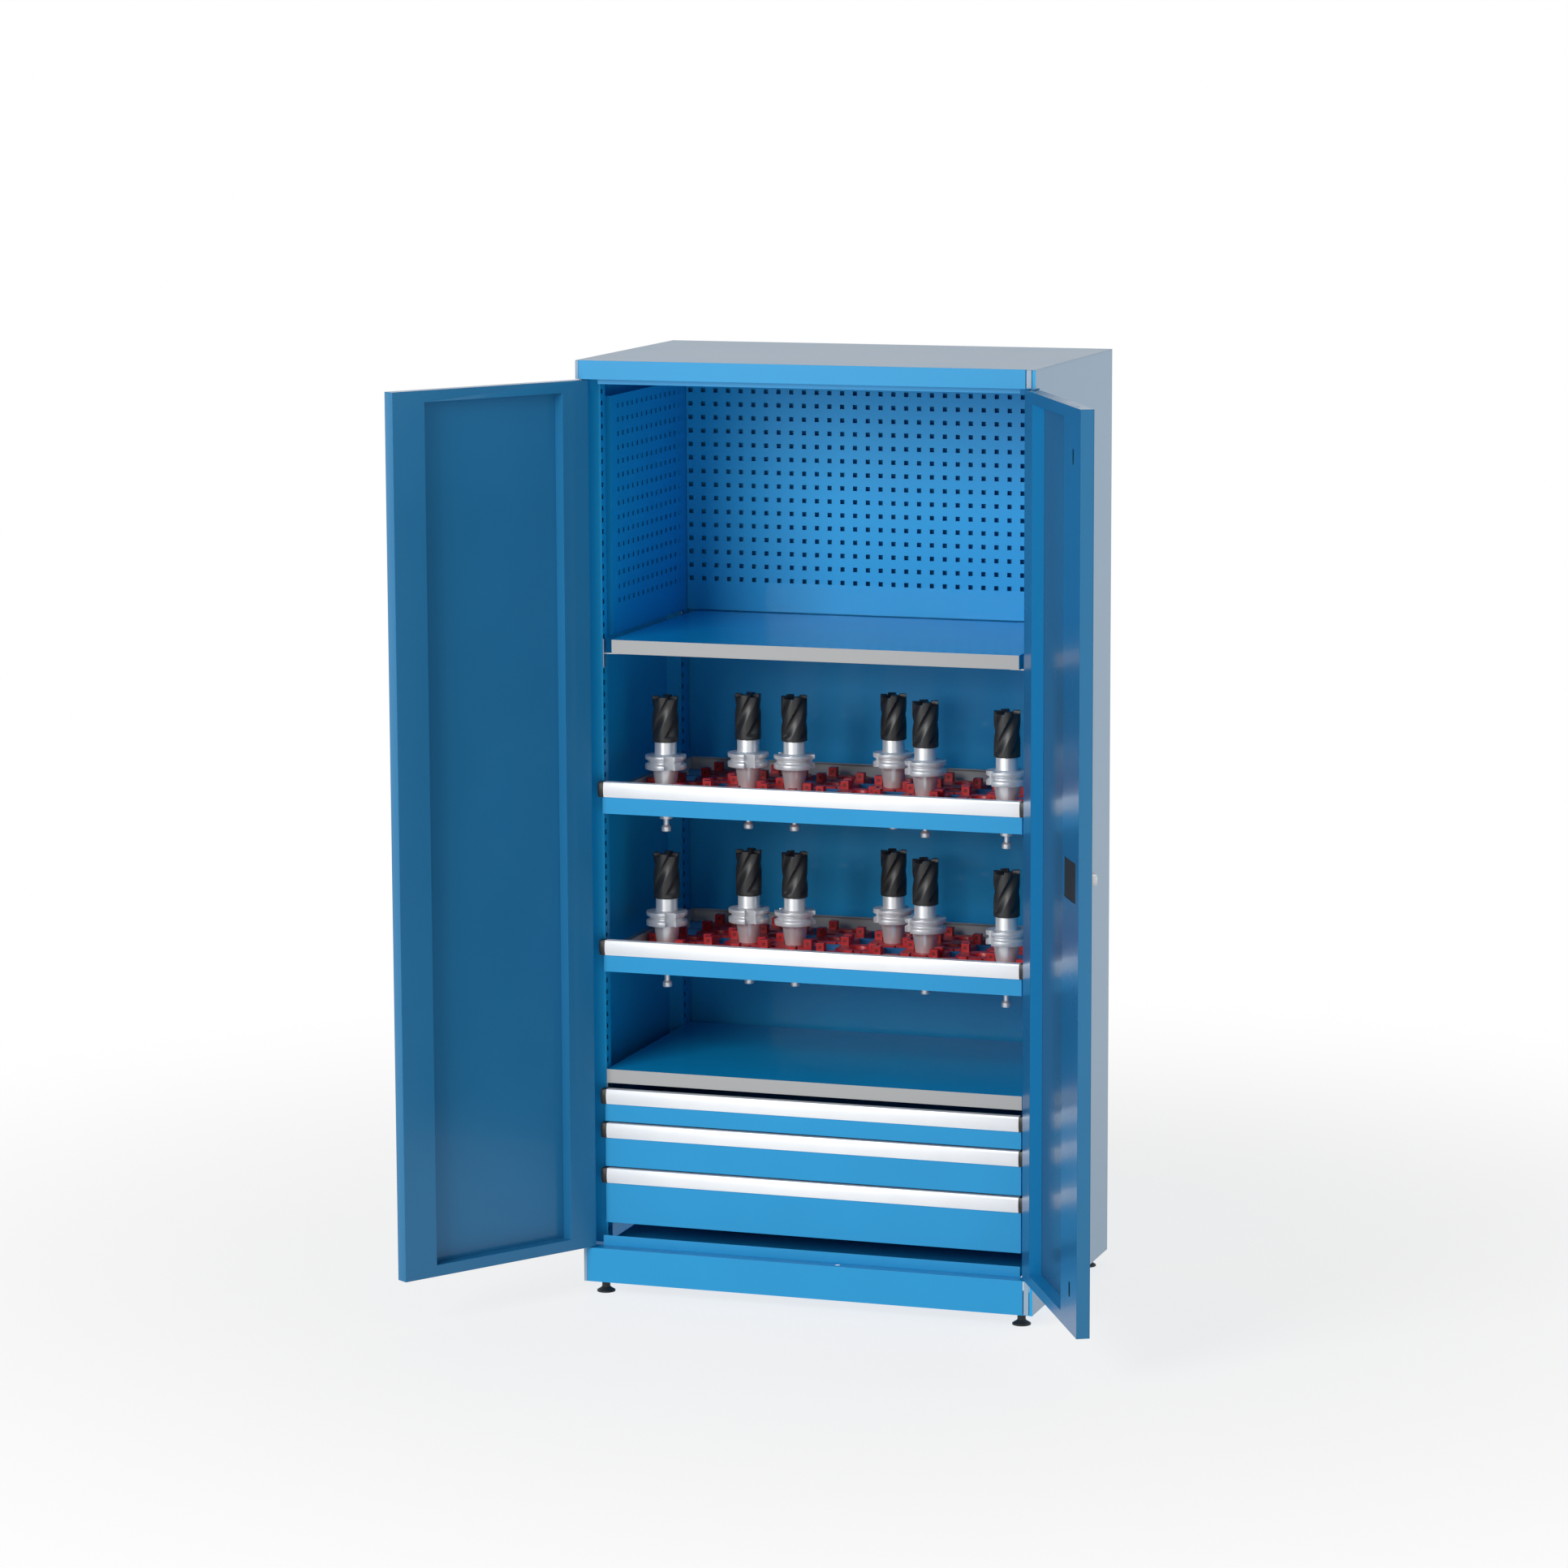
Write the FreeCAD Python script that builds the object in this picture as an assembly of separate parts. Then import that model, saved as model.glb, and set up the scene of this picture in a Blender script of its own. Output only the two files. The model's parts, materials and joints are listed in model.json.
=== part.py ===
import FreeCAD, Part
import math
import os

# Two-door steel tool cabinet on four levelling feet. It holds a perforated storage bay, two
# pull-out frames with sockets for taper tool holders, two shelves and three drawers.
# Frame: X to the right, Y to the back, Z up, origin on the floor under the middle of the body.
# Millimetres throughout.

os.makedirs("parts", exist_ok=True)

# ---- carcass ----
CABINET_WIDTH = 1010.0
CABINET_DEPTH = 615.0
CABINET_HEIGHT = 2000.0
FOOT_HEIGHT = 30.0
PANEL_SHEET = 1.5
FRONT_RETURN = 6.5
REAR_RETURN = 20.0
BASE_RETURN = 60.0
FASCIA_HEIGHT = 40.0
FASCIA_LEFT_GAP = 0.5
FASCIA_RIGHT_GAP = 21.0
FASCIA_TOP_RETURN = 20.0
LIP_DROP = 12.0
PLINTH_HEIGHT = 75.0
FLOOR_LIP = 23.0
LIP_SIDE_GAP = 5.0
TRIM_WIDTH = 11.0
TRIM_DEPTH = 3.0
TRIM_GAP = 1.5
ANCHOR_HOLE_RADIUS = 4.5
ANCHOR_SPACING_X = 600.0
ANCHOR_SPACING_Z = 617.0
ANCHOR_DROP = 73.0

# ---- levelling feet ----
FOOT_INSET_X = 35.0
FOOT_INSET_Y = 42.5
FOOT_PAD_RADIUS = 20.0
FOOT_PAD_RIM = 3.0
FOOT_PAD_SLOPE = 2.0
FOOT_FLARE = 3.0
FOOT_NECK_RADIUS = 9.0
FOOT_HUB_RADIUS = 12.0
FOOT_HUB_HEIGHT = 7.0
FOOT_SCREW_RADIUS = 5.0
FOOT_SCREW_LENGTH = 48.0
FOOT_SCREW_SINK = 6.0
FOOT_NUT_WIDTH = 17.0
FOOT_NUT_HEIGHT = 8.0

# ---- uprights ----
UPRIGHT_WIDTH = 33.5
UPRIGHT_DEPTH = 28.0
UPRIGHT_SHEET = 1.5
UPRIGHT_SETBACK = 57.5
REAR_UPRIGHT_DEPTH = 51.0
REAR_UPRIGHT_STANDOFF = 6.5
SLOT_PITCH = 25.0
SLOT_WIDTH = 11.0
SLOT_HEIGHT = 10.0
SLOT_INSET = 9.0
REAR_SLOT_INSET = 14.0

# ---- perforated lining ----
PEG_HOLE = 10.0
PEG_ROW_PITCH = 30.0
PEG_COLUMN_PITCH = 29.5
PEG_SIDE_PITCH = 30.0
PEG_STANDOFF = 14.5
PEG_TOP_GAP = 44.0
PEG_EDGE = 24.0
PEG_BOTTOM_BAND = 48.0
PEG_SIDE_SETBACK = 116.5
PEG_SIDE_EDGE = 30.0
PEG_SHELF_GAP = 2.0
PEG_PANEL_GAP = 0.5

# ---- levels of the inside ----
STACK_GAP = 22.0
DRAWER_HEIGHTS = {"75": 75.0, "100": 100.0, "125": 125.0}
SHELF_GAP = 12.0
SHELF_LIP = 30.0
SHELF_SHEET = 1.5
UPPER_SHELF_SIDE_GAP = 17.5
LOWER_SHELF_SIDE_GAP = 3.0
UPPER_SHELF_SHIFT = 5.5
SHELF_SETBACK = 49.5
SHELF_BACK_GAP = 22.5
LOWER_FRAME_RISE = 286.0
FRAME_PITCH = 345.0
UPPER_SHELF_RISE = 307.0
CLIP_THICKNESS = 1.8
CLIP_WIDTH = 16.0
CLIP_DROP = 32.0
CLIP_TONGUE = 34.0
CLIP_PRONG = 4.0
CLIP_PLAY = 1.0

# ---- doors ----
DOOR_THICKNESS = 28.0
DOOR_SHEET = 1.2
DOOR_FRAME_SHEET = 1.5
DOOR_END_GAP = 2.0
DOOR_MEETING_GAP = 3.0
DOOR_SIDE_GAP = 3.0
DOOR_STOP_GAP = 0.5
SIDE_EDGE_GAP = 4.0
DOOR_FREE_STILE = 79.0
DOOR_HINGE_STILE = 66.0
DOOR_LOCK_STILE = 140.0
DOOR_RAIL = 23.0
PIVOT_INSET = 9.0
PIVOT_DEPTH = 12.5
LEFT_DOOR_ANGLE = 123.0
RIGHT_DOOR_ANGLE = 118.5
PIN_RADIUS = 4.0
PIN_CLEARANCE = 0.06
PIN_REACH = 12.0
PIN_COLLAR_RADIUS = 6.5

# ---- lock on the right door ----
LOCK_HEIGHT = 1006.0
LOCK_WINDOW_WIDTH = 101.0
LOCK_WINDOW_HEIGHT = 82.0
LOCK_WINDOW_INSET = 26.5
LOCK_FIT = 1.0
HANDLE_INSET = 70.0
LOCK_PLATE_WIDTH = 38.0
LOCK_PLATE_HEIGHT = 110.0
LOCK_PLATE_THICKNESS = 2.0
LOCK_PLATE_ROUND = 11.0
LOCK_CASE_FLOOR = 4.0
SPINDLE_RADIUS = 6.0
SPINDLE_CLEARANCE = 0.08
SPINDLE_END_GAP = 1.0
LEVER_STANDOFF = 25.0
LEVER_LENGTH = 92.0
LEVER_WIDTH = 23.0
LEVER_THICKNESS = 11.0
LEVER_HUB_STEP = 1.5
LEVER_HUB_GAP = 0.3
ROD_RADIUS = 4.0
ROD_CLEARANCE = 0.08
ROD_HOLE_MARGIN = 2.0
ROD_INSET = 66.0
ROD_DEPTH = 17.5
ROD_END_GAP = 1.0
ROD_CASE_GAP = 2.0
ROD_SLOT_WIDTH = 13.0
ROD_SLOT_HEIGHT = 33.0
ROD_SLOT_FROM_TOP = 99.0
ROD_SLOT_FROM_BOTTOM = 88.0
GUIDE_WIDTH = 22.0
GUIDE_HEIGHT = 14.0
GUIDE_WALL = 2.0
GUIDE_INSET = 160.0

# ---- telescopic runners ----
RUNNER_SPACE = 22.0
RUNNER_HEIGHT = 40.0
RUNNER_SHEET = 1.5
RUNNER_GAP = 0.4
RUNNER_LIP = 10.0
RUNNER_BACK_GAP = 46.5
RUNNER_SETBACK = 3.0
RUNNER_RISE = 30.0
FRAME_RUNNER_RISE = 28.0

# ---- pull handles, shared by the drawers and the tool frames ----
GRIP_HEIGHT = 32.5
GRIP_DEPTH = 20.0
GRIP_CROWN = 3.0
GRIP_WALL = 2.0
GRIP_SETBACK = 34.5
GRIP_SHOULDER = 7.0
CAP_WIDTH = 13.0
CAP_OVERHANG = 7.0
CAP_ROUND = 2.0

# ---- drawers ----
DRAWER_SHEET = 1.2
FRONT_SHEET = 1.5
FRONT_SIDE_GAP = 2.0
FRONT_BOTTOM_GAP = 4.0
FRONT_SEAM = 0.3
POST_GAP = 1.5
TRAY_RISE = 7.0
TRAY_TOP_GAP = 8.0
TRAY_BACK_GAP = 47.0

# ---- tool frames ----
FRAME_FRONT_HEIGHT = 69.0
FRAME_SIDE_BOTTOM = 6.0
FRAME_SIDE_HEIGHT = 44.0
REAR_FLANGE_DEPTH = 12.0
SOCKET_ROW_PITCH = 87.0
FIRST_CARRIER_SETBACK = 49.0
USED_ROWS = (1, 2, 3, 4)
CARRIER_WIDTH = 10.0
CARRIER_HEIGHT = 18.0
CARRIER_WALL = 1.5
CARRIER_BASE = 6.0
INSERT_WIDTH = 100.0
INSERT_THICKNESS = 26.0
INSERT_RAIL_GAP = 0.5
INSERT_HOOK = 4.0
INSERT_HOOK_LENGTH = 30.0
INSERT_CHAMFER = 18.0
LUG_SIZE = 18.0
LUG_HEIGHT = 18.0

# ---- tool holders: 7/24 taper ----
HOLDER_RISE = 45.0
FLANGE_RADIUS = 45.0
FLANGE_HEIGHT = 30.0
FLANGE_LOWER_RING = 10.0
FLANGE_GROOVE_DEPTH = 7.0
FLANGE_GROOVE_WIDTH = 12.0
FLANGE_GROOVE_SLOPE = 4.0
DRIVE_SLOT_WIDTH = 24.0
DRIVE_SLOT_DEPTH = 11.0
TAPER_RADIUS = 28.5
TAPER_LENGTH = 101.0
TAPER_RATIO = 7.0 / 24.0
NOSE_RADIUS = 24.0
NOSE_HEIGHT = 30.0
NOSE_FOOT = 4.0
EDGE_CHAMFER = 1.5
STUD_COLLAR_RADIUS = 14.0
STUD_COLLAR_HEIGHT = 10.0
STUD_NECK_RADIUS = 6.0
STUD_NECK_HEIGHT = 13.0
STUD_HEAD_RADIUS = 10.5
STUD_HEAD_HEIGHT = 15.0
STUD_THREAD_RADIUS = 5.0
STUD_THREAD_LENGTH = 16.0
CUTTER_RADIUS = 28.5
CUTTER_HEIGHT = 99.0
CUTTER_TEETH = 4
CROWN_DEPTH = 6.0
CROWN_NOTCH_WIDTH = 20.0
CROWN_CORE_RADIUS = 12.0
ARBOR_RADIUS = 11.0
ARBOR_DEPTH = 12.0

# Tools of one frame, each by its distance from the left (-1) or right (1) side of the frame, its
# socket row from the front, the turn of its drive slots and the turn of the cutter's teeth.
TOOLS = [
    (-1, 55.0, 1, 30.0, 8.0),
    (-1, 215.0, 2, 22.0, 5.0),
    (-1, 321.0, 2, 83.0, 38.0),
    (1, 376.0, 3, 136.0, 24.0),
    (1, 277.0, 2, 134.0, 26.0),
    (1, 69.0, 1, 133.0, 25.0),
]
# Least distance between the sockets of a row, where it isn't set by the tools.
SOCKET_PITCH = {1: 125.0, 2: 125.0, 3: 134.0, 4: 134.0}

# ---- places that several pieces share ----
HALF_WIDTH = CABINET_WIDTH / 2
FRONT = -CABINET_DEPTH / 2
BACK = CABINET_DEPTH / 2
SIDE_INNER = HALF_WIDTH - PANEL_SHEET
TOP = FOOT_HEIGHT + CABINET_HEIGHT
HEAD = TOP - FASCIA_HEIGHT
PLINTH_TOP = FOOT_HEIGHT + PLINTH_HEIGHT
DECK = PLINTH_TOP + FLOOR_LIP
DOOR_INNER = FRONT + DOOR_THICKNESS
STOP_FACE = DOOR_INNER + DOOR_STOP_GAP
BACK_SHEET_INNER = BACK - 2 * PANEL_SHEET
POST_FACE = FRONT + UPRIGHT_SETBACK
CLEAR_HALF = SIDE_INNER - UPRIGHT_WIDTH
FRONT_SLOT_Y = POST_FACE + SLOT_INSET
REAR_UPRIGHT_BACK = BACK_SHEET_INNER - REAR_UPRIGHT_STANDOFF
REAR_UPRIGHT_FRONT = REAR_UPRIGHT_BACK - REAR_UPRIGHT_DEPTH
REAR_SLOT_Y = REAR_UPRIGHT_FRONT + REAR_SLOT_INSET
STOP_HALF = CLEAR_HALF - LIP_SIDE_GAP
BOX_HALF = CLEAR_HALF - RUNNER_SPACE
GRIP_FRONT = FRONT + GRIP_SETBACK
GRIP_BACK = GRIP_FRONT + GRIP_DEPTH
GRIP_HALF = CLEAR_HALF + CAP_OVERHANG - CAP_WIDTH
FRONT_FACE = GRIP_FRONT + GRIP_SHOULDER
FRONT_BACK = POST_FACE - POST_GAP
FRONT_HALF = CLEAR_HALF - FRONT_SIDE_GAP
TRAY_BACK = BACK - TRAY_BACK_GAP
RUNNER_FRONT = POST_FACE + RUNNER_SETBACK
RUNNER_BACK = BACK - RUNNER_BACK_GAP
PIVOT_X = HALF_WIDTH - PIVOT_INSET
PIVOT_Y = FRONT + PIVOT_DEPTH
DOOR_FREE = DOOR_MEETING_GAP / 2
DOOR_HINGE_END = HALF_WIDTH - DOOR_SIDE_GAP
DOOR_BOTTOM = PLINTH_TOP + DOOR_END_GAP
DOOR_TOP = HEAD - DOOR_END_GAP
ROD_X = DOOR_FREE + ROD_INSET
ROD_Y = FRONT + ROD_DEPTH
SPINDLE_X = DOOR_FREE + HANDLE_INSET
LOCK_Z = FOOT_HEIGHT + LOCK_HEIGHT
FASCIA_LEFT = -(HALF_WIDTH - FRONT_RETURN) + FASCIA_LEFT_GAP
FASCIA_RIGHT = HALF_WIDTH - FASCIA_RIGHT_GAP
FOOT_SCREW_BOTTOM = FOOT_HEIGHT - FOOT_SCREW_SINK
STACK_BASE = DECK + STACK_GAP
DRAWER_BASE = {
    "125": STACK_BASE,
    "100": STACK_BASE + DRAWER_HEIGHTS["125"],
    "75": STACK_BASE + DRAWER_HEIGHTS["125"] + DRAWER_HEIGHTS["100"],
}
STACK_TOP = DRAWER_BASE["75"] + DRAWER_HEIGHTS["75"]
LOWER_SHELF_TOP = STACK_TOP + SHELF_GAP + SHELF_LIP
LOWER_FRAME_TOP = LOWER_SHELF_TOP + LOWER_FRAME_RISE
UPPER_FRAME_TOP = LOWER_FRAME_TOP + FRAME_PITCH
UPPER_SHELF_TOP = UPPER_FRAME_TOP + UPPER_SHELF_RISE
FRAME_BASE = {
    "lower": LOWER_FRAME_TOP - FRAME_FRONT_HEIGHT,
    "upper": UPPER_FRAME_TOP - FRAME_FRONT_HEIGHT,
}


# ---- shape helpers ----
def block(x0, x1, y0, y1, z0, z1):
    """A box between two opposite corners."""
    return Part.makeBox(x1 - x0, y1 - y0, z1 - z0, FreeCAD.Vector(x0, y0, z0))


def rod(radius, x, y, z0, z1):
    """An upright cylinder."""
    return Part.makeCylinder(radius, z1 - z0, FreeCAD.Vector(x, y, z0))


def cross_rod(radius, x, z, y0, y1):
    """A cylinder lying along Y."""
    return Part.makeCylinder(radius, y1 - y0, FreeCAD.Vector(x, y0, z), FreeCAD.Vector(0, 1, 0))


def outline_wire(points):
    """A closed wire through points."""
    return Part.makePolygon(points + [points[0]])


def bar_along_x(section, x0, x1):
    """A section of (y, z) points drawn out along X."""
    points = [FreeCAD.Vector(x0, y, z) for y, z in section]
    return Part.Face(outline_wire(points)).extrude(FreeCAD.Vector(x1 - x0, 0, 0))


def plate_with_slots(origin, across, up, thickness, width, height, slots, slot_size):
    """A flat plate with rectangular holes; across and up are its directions from origin."""
    def corner(u, v):
        return origin + across * u + up * v

    def rectangle(u0, u1, v0, v1):
        return outline_wire([corner(u0, v0), corner(u1, v0), corner(u1, v1), corner(u0, v1)])

    half_u = slot_size[0] / 2
    half_v = slot_size[1] / 2
    wires = [rectangle(0, width, 0, height)]
    wires += [rectangle(u - half_u, u + half_u, v - half_v, v + half_v) for u, v in slots]
    return Part.Face(wires, "Part::FaceMakerBullseye").extrude(thickness)


def turned(profile, x, y):
    """A solid of revolution about an upright axis; profile is (radius, z) points."""
    points = [FreeCAD.Vector(radius, 0, z) for radius, z in profile]
    solid = Part.Face(outline_wire(points)).revolve(
        FreeCAD.Vector(0, 0, 0), FreeCAD.Vector(0, 0, 1), 360)
    solid.translate(FreeCAD.Vector(x, y, 0))
    return solid


def joined(shapes):
    """One solid from overlapping or touching shapes."""
    return shapes[0].multiFuse(shapes[1:]).removeSplitter()


def mirrored(shape):
    """The same shape on the other side of the middle plane."""
    return shape.mirror(FreeCAD.Vector(0, 0, 0), FreeCAD.Vector(1, 0, 0))


def both_sides(shape):
    """A right-hand piece and its left-hand mirror image."""
    return [mirrored(shape), shape]


def hexagon_nut(x, y, z0, z1, across_flats):
    """A plain hexagon prism."""
    radius = across_flats / math.sqrt(3)
    corners = [math.radians(60 * i) for i in range(6)]
    points = [FreeCAD.Vector(x + radius * math.cos(a), y + radius * math.sin(a), z0) for a in corners]
    return Part.Face(outline_wire(points)).extrude(FreeCAD.Vector(0, 0, z1 - z0))


def pattern(first, last, pitch):
    """Evenly spaced places, centred between first and last."""
    count = int((last - first) / pitch + 1e-6) + 1
    start = (first + last - (count - 1) * pitch) / 2
    return [start + i * pitch for i in range(count)]


def export(node, solids):
    """Writes the solids of one node to its own file."""
    shape = solids[0] if len(solids) == 1 else Part.Compound(solids)
    shape.exportStep("parts/" + node + ".step")
    print(node, len(shape.Solids), round(shape.Volume / 1000.0, 1), "cm3")


# ---- carcass ----
def side_panel():
    """Right side: a skin with returns at the front ends, back, base and top."""
    sheet = PANEL_SHEET
    door_edge = DOOR_INNER + SIDE_EDGE_GAP
    skin = bar_along_x([
        (FRONT, FOOT_HEIGHT),
        (BACK, FOOT_HEIGHT),
        (BACK, TOP - sheet),
        (FRONT, TOP - sheet),
        (FRONT, HEAD),
        (door_edge, HEAD),
        (door_edge, PLINTH_TOP),
        (FRONT, PLINTH_TOP),
    ], SIDE_INNER, HALF_WIDTH)
    return_edge = HALF_WIDTH - FRONT_RETURN
    base_edge = HALF_WIDTH - BASE_RETURN
    rear_edge = HALF_WIDTH - REAR_RETURN
    base_front = STOP_FACE + 2 * sheet
    panel = joined([
        skin,
        block(return_edge, SIDE_INNER, FRONT, FRONT + sheet, HEAD, TOP - sheet),
        block(return_edge, SIDE_INNER, FRONT, FRONT + sheet, FOOT_HEIGHT, PLINTH_TOP),
        block(rear_edge, SIDE_INNER, BACK - sheet, BACK, FOOT_HEIGHT, TOP - sheet),
        block(base_edge, SIDE_INNER, base_front, BACK - sheet, FOOT_HEIGHT, FOOT_HEIGHT + sheet),
        block(rear_edge, SIDE_INNER, base_front, BACK_SHEET_INNER, TOP - 2 * sheet, TOP - sheet),
    ])
    return panel.cut([rod(FOOT_SCREW_RADIUS, x, y, 0, PLINTH_TOP) for x, y in foot_places()])


def foot_places():
    """Centres of the four feet."""
    x = HALF_WIDTH - FOOT_INSET_X
    y = BACK - FOOT_INSET_Y
    return [(-x, -y), (x, -y), (-x, y), (x, y)]


def keeper_holes(z0, z1):
    """Holes over or under the doors for the lock rod and the pivot pins."""
    return [
        rod(ROD_RADIUS + ROD_HOLE_MARGIN, ROD_X, ROD_Y, z0, z1),
        rod(PIN_RADIUS, PIVOT_X, PIVOT_Y, z0, z1),
        rod(PIN_RADIUS, -PIVOT_X, PIVOT_Y, z0, z1),
    ]


def top_fascia():
    """Channel over the doors, with the lip that they close against."""
    sheet = PANEL_SHEET
    channel = joined([
        block(FASCIA_LEFT, FASCIA_RIGHT, FRONT, FRONT + sheet, HEAD, TOP),
        block(FASCIA_LEFT, FASCIA_RIGHT, FRONT + sheet, FRONT + FASCIA_TOP_RETURN,
              TOP - 2 * sheet, TOP - sheet),
        block(-SIDE_INNER, SIDE_INNER, FRONT + sheet, STOP_FACE + sheet, HEAD, HEAD + sheet),
        block(-STOP_HALF, STOP_HALF, STOP_FACE, STOP_FACE + sheet, HEAD - LIP_DROP, HEAD),
    ])
    return channel.cut(keeper_holes(HEAD - LIP_DROP, TOP - 2 * sheet))


def plinth():
    """Channel under the doors."""
    sheet = PANEL_SHEET
    back = STOP_FACE + 2 * sheet
    channel = joined([
        block(FASCIA_LEFT, FASCIA_RIGHT, FRONT, FRONT + sheet, FOOT_HEIGHT, PLINTH_TOP),
        block(-SIDE_INNER, SIDE_INNER, FRONT + sheet, back, FOOT_HEIGHT, FOOT_HEIGHT + sheet),
        block(-SIDE_INNER, SIDE_INNER, FRONT + sheet, back, PLINTH_TOP - sheet, PLINTH_TOP),
    ])
    return channel.cut(keeper_holes(FOOT_HEIGHT + sheet, PLINTH_TOP))


def corner_trims():
    """Two upright strips that close the right-hand ends of the fascia and the plinth."""
    x1 = HALF_WIDTH - FRONT_RETURN - TRIM_GAP
    x0 = x1 - TRIM_WIDTH
    sheet = PANEL_SHEET
    return [
        block(x0, x1, FRONT, FRONT + TRIM_DEPTH, HEAD + sheet, TOP - sheet),
        block(x0, x1, FRONT, FRONT + TRIM_DEPTH, FOOT_HEIGHT + sheet, PLINTH_TOP - sheet),
    ]


def floor_panel():
    """Tray with a raised lip at its front and its back, standing on the plinth."""
    sheet = PANEL_SHEET
    return joined([
        block(-CLEAR_HALF, CLEAR_HALF, STOP_FACE, BACK_SHEET_INNER, PLINTH_TOP, PLINTH_TOP + sheet),
        block(-CLEAR_HALF, CLEAR_HALF, STOP_FACE, STOP_FACE + sheet, PLINTH_TOP, DECK),
        block(-CLEAR_HALF, CLEAR_HALF, BACK_SHEET_INNER - sheet, BACK_SHEET_INNER, PLINTH_TOP, DECK),
    ])


def back_panel():
    """Rear sheet, held inside the returns of the sides, with four wall anchor holes."""
    sheet = PANEL_SHEET
    z_top = TOP - ANCHOR_DROP
    holes = [
        cross_rod(ANCHOR_HOLE_RADIUS, side * ANCHOR_SPACING_X / 2, z, BACK_SHEET_INNER - 1, BACK)
        for side in (-1, 1)
        for z in (z_top, z_top - ANCHOR_SPACING_Z)
    ]
    skin = block(-SIDE_INNER, SIDE_INNER, BACK_SHEET_INNER, BACK - sheet,
                 FOOT_HEIGHT + sheet, TOP - sheet)
    return skin.cut(holes)


def slot_heights():
    """Heights of the upright slots, one pitch apart."""
    return pattern(PLINTH_TOP + SLOT_PITCH, HEAD - SLOT_PITCH, SLOT_PITCH)


def upright(y0, y1, slot_y):
    """Right-hand upright: a channel open to the side panel, with a row of slots."""
    sheet = UPRIGHT_SHEET
    z0 = PLINTH_TOP
    z1 = TOP - 2 * PANEL_SHEET
    slots = [(slot_y - y0, z - z0) for z in slot_heights()]
    web = plate_with_slots(
        FreeCAD.Vector(CLEAR_HALF, y0, z0), FreeCAD.Vector(0, 1, 0), FreeCAD.Vector(0, 0, 1),
        FreeCAD.Vector(sheet, 0, 0), y1 - y0, z1 - z0, slots, (SLOT_WIDTH, SLOT_HEIGHT))
    return joined([
        web,
        block(CLEAR_HALF + sheet, SIDE_INNER, y0, y0 + sheet, z0, z1),
        block(CLEAR_HALF + sheet, SIDE_INNER, y1 - sheet, y1, z0, z1),
    ])


def peg_rows():
    """Heights of the perforation rows."""
    top = HEAD - PEG_TOP_GAP - PEG_EDGE
    bottom = UPPER_SHELF_TOP + PEG_SHELF_GAP + PEG_BOTTOM_BAND
    count = int((top - bottom) / PEG_ROW_PITCH + 1e-6) + 1
    return [top - i * PEG_ROW_PITCH for i in range(count)]


def perforated_back_panel():
    """Lining of the top bay, folded back at its top and bottom edges."""
    sheet = PANEL_SHEET
    half = CLEAR_HALF - sheet - PEG_PANEL_GAP
    y0 = BACK_SHEET_INNER - PEG_STANDOFF - sheet
    z0 = UPPER_SHELF_TOP + PEG_SHELF_GAP
    z1 = HEAD - PEG_TOP_GAP
    edge = PEG_HOLE
    columns = pattern(-half + edge, half - edge, PEG_COLUMN_PITCH)
    slots = [(x + half, z - z0) for x in columns for z in peg_rows()]
    web = plate_with_slots(
        FreeCAD.Vector(-half, y0, z0), FreeCAD.Vector(1, 0, 0), FreeCAD.Vector(0, 0, 1),
        FreeCAD.Vector(0, sheet, 0), 2 * half, z1 - z0, slots, (PEG_HOLE, PEG_HOLE))
    return joined([
        web,
        block(-half, half, y0 + sheet, BACK_SHEET_INNER, z0, z0 + sheet),
        block(-half, half, y0 + sheet, BACK_SHEET_INNER, z1 - sheet, z1),
    ])


def perforated_side_panel():
    """Right-hand lining of the top bay, folded towards the side panel at its front."""
    sheet = PANEL_SHEET
    y1 = BACK_SHEET_INNER - PEG_STANDOFF - 2 * sheet
    y0 = FRONT + PEG_SIDE_SETBACK
    z0 = UPPER_SHELF_TOP + PEG_SHELF_GAP
    z1 = HEAD - PEG_TOP_GAP
    columns = pattern(y0 + PEG_SIDE_EDGE, y1 - PEG_SIDE_EDGE + sheet, PEG_SIDE_PITCH)
    slots = [(y - y0, z - z0) for y in columns for z in peg_rows()]
    web = plate_with_slots(
        FreeCAD.Vector(CLEAR_HALF - sheet, y0, z0), FreeCAD.Vector(0, 1, 0), FreeCAD.Vector(0, 0, 1),
        FreeCAD.Vector(sheet, 0, 0), y1 - y0, z1 - z0, slots, (PEG_HOLE, PEG_HOLE))
    return joined([web, block(CLEAR_HALF, SIDE_INNER, y0, y0 + sheet, z0, z1)])


def shelf(top, side_gap, shift=0.0):
    """A folded tray, open below; it may lie to one side of the middle on its clips."""
    sheet = SHELF_SHEET
    x0 = shift - CLEAR_HALF + side_gap
    x1 = shift + CLEAR_HALF - side_gap
    y0 = FRONT + SHELF_SETBACK
    y1 = BACK - SHELF_BACK_GAP
    z0 = top - SHELF_LIP
    body = block(x0, x1, y0, y1, z0, top)
    return body.cut(block(x0 + sheet, x1 - sheet, y0 + sheet, y1 - sheet, z0, top - sheet))


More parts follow.
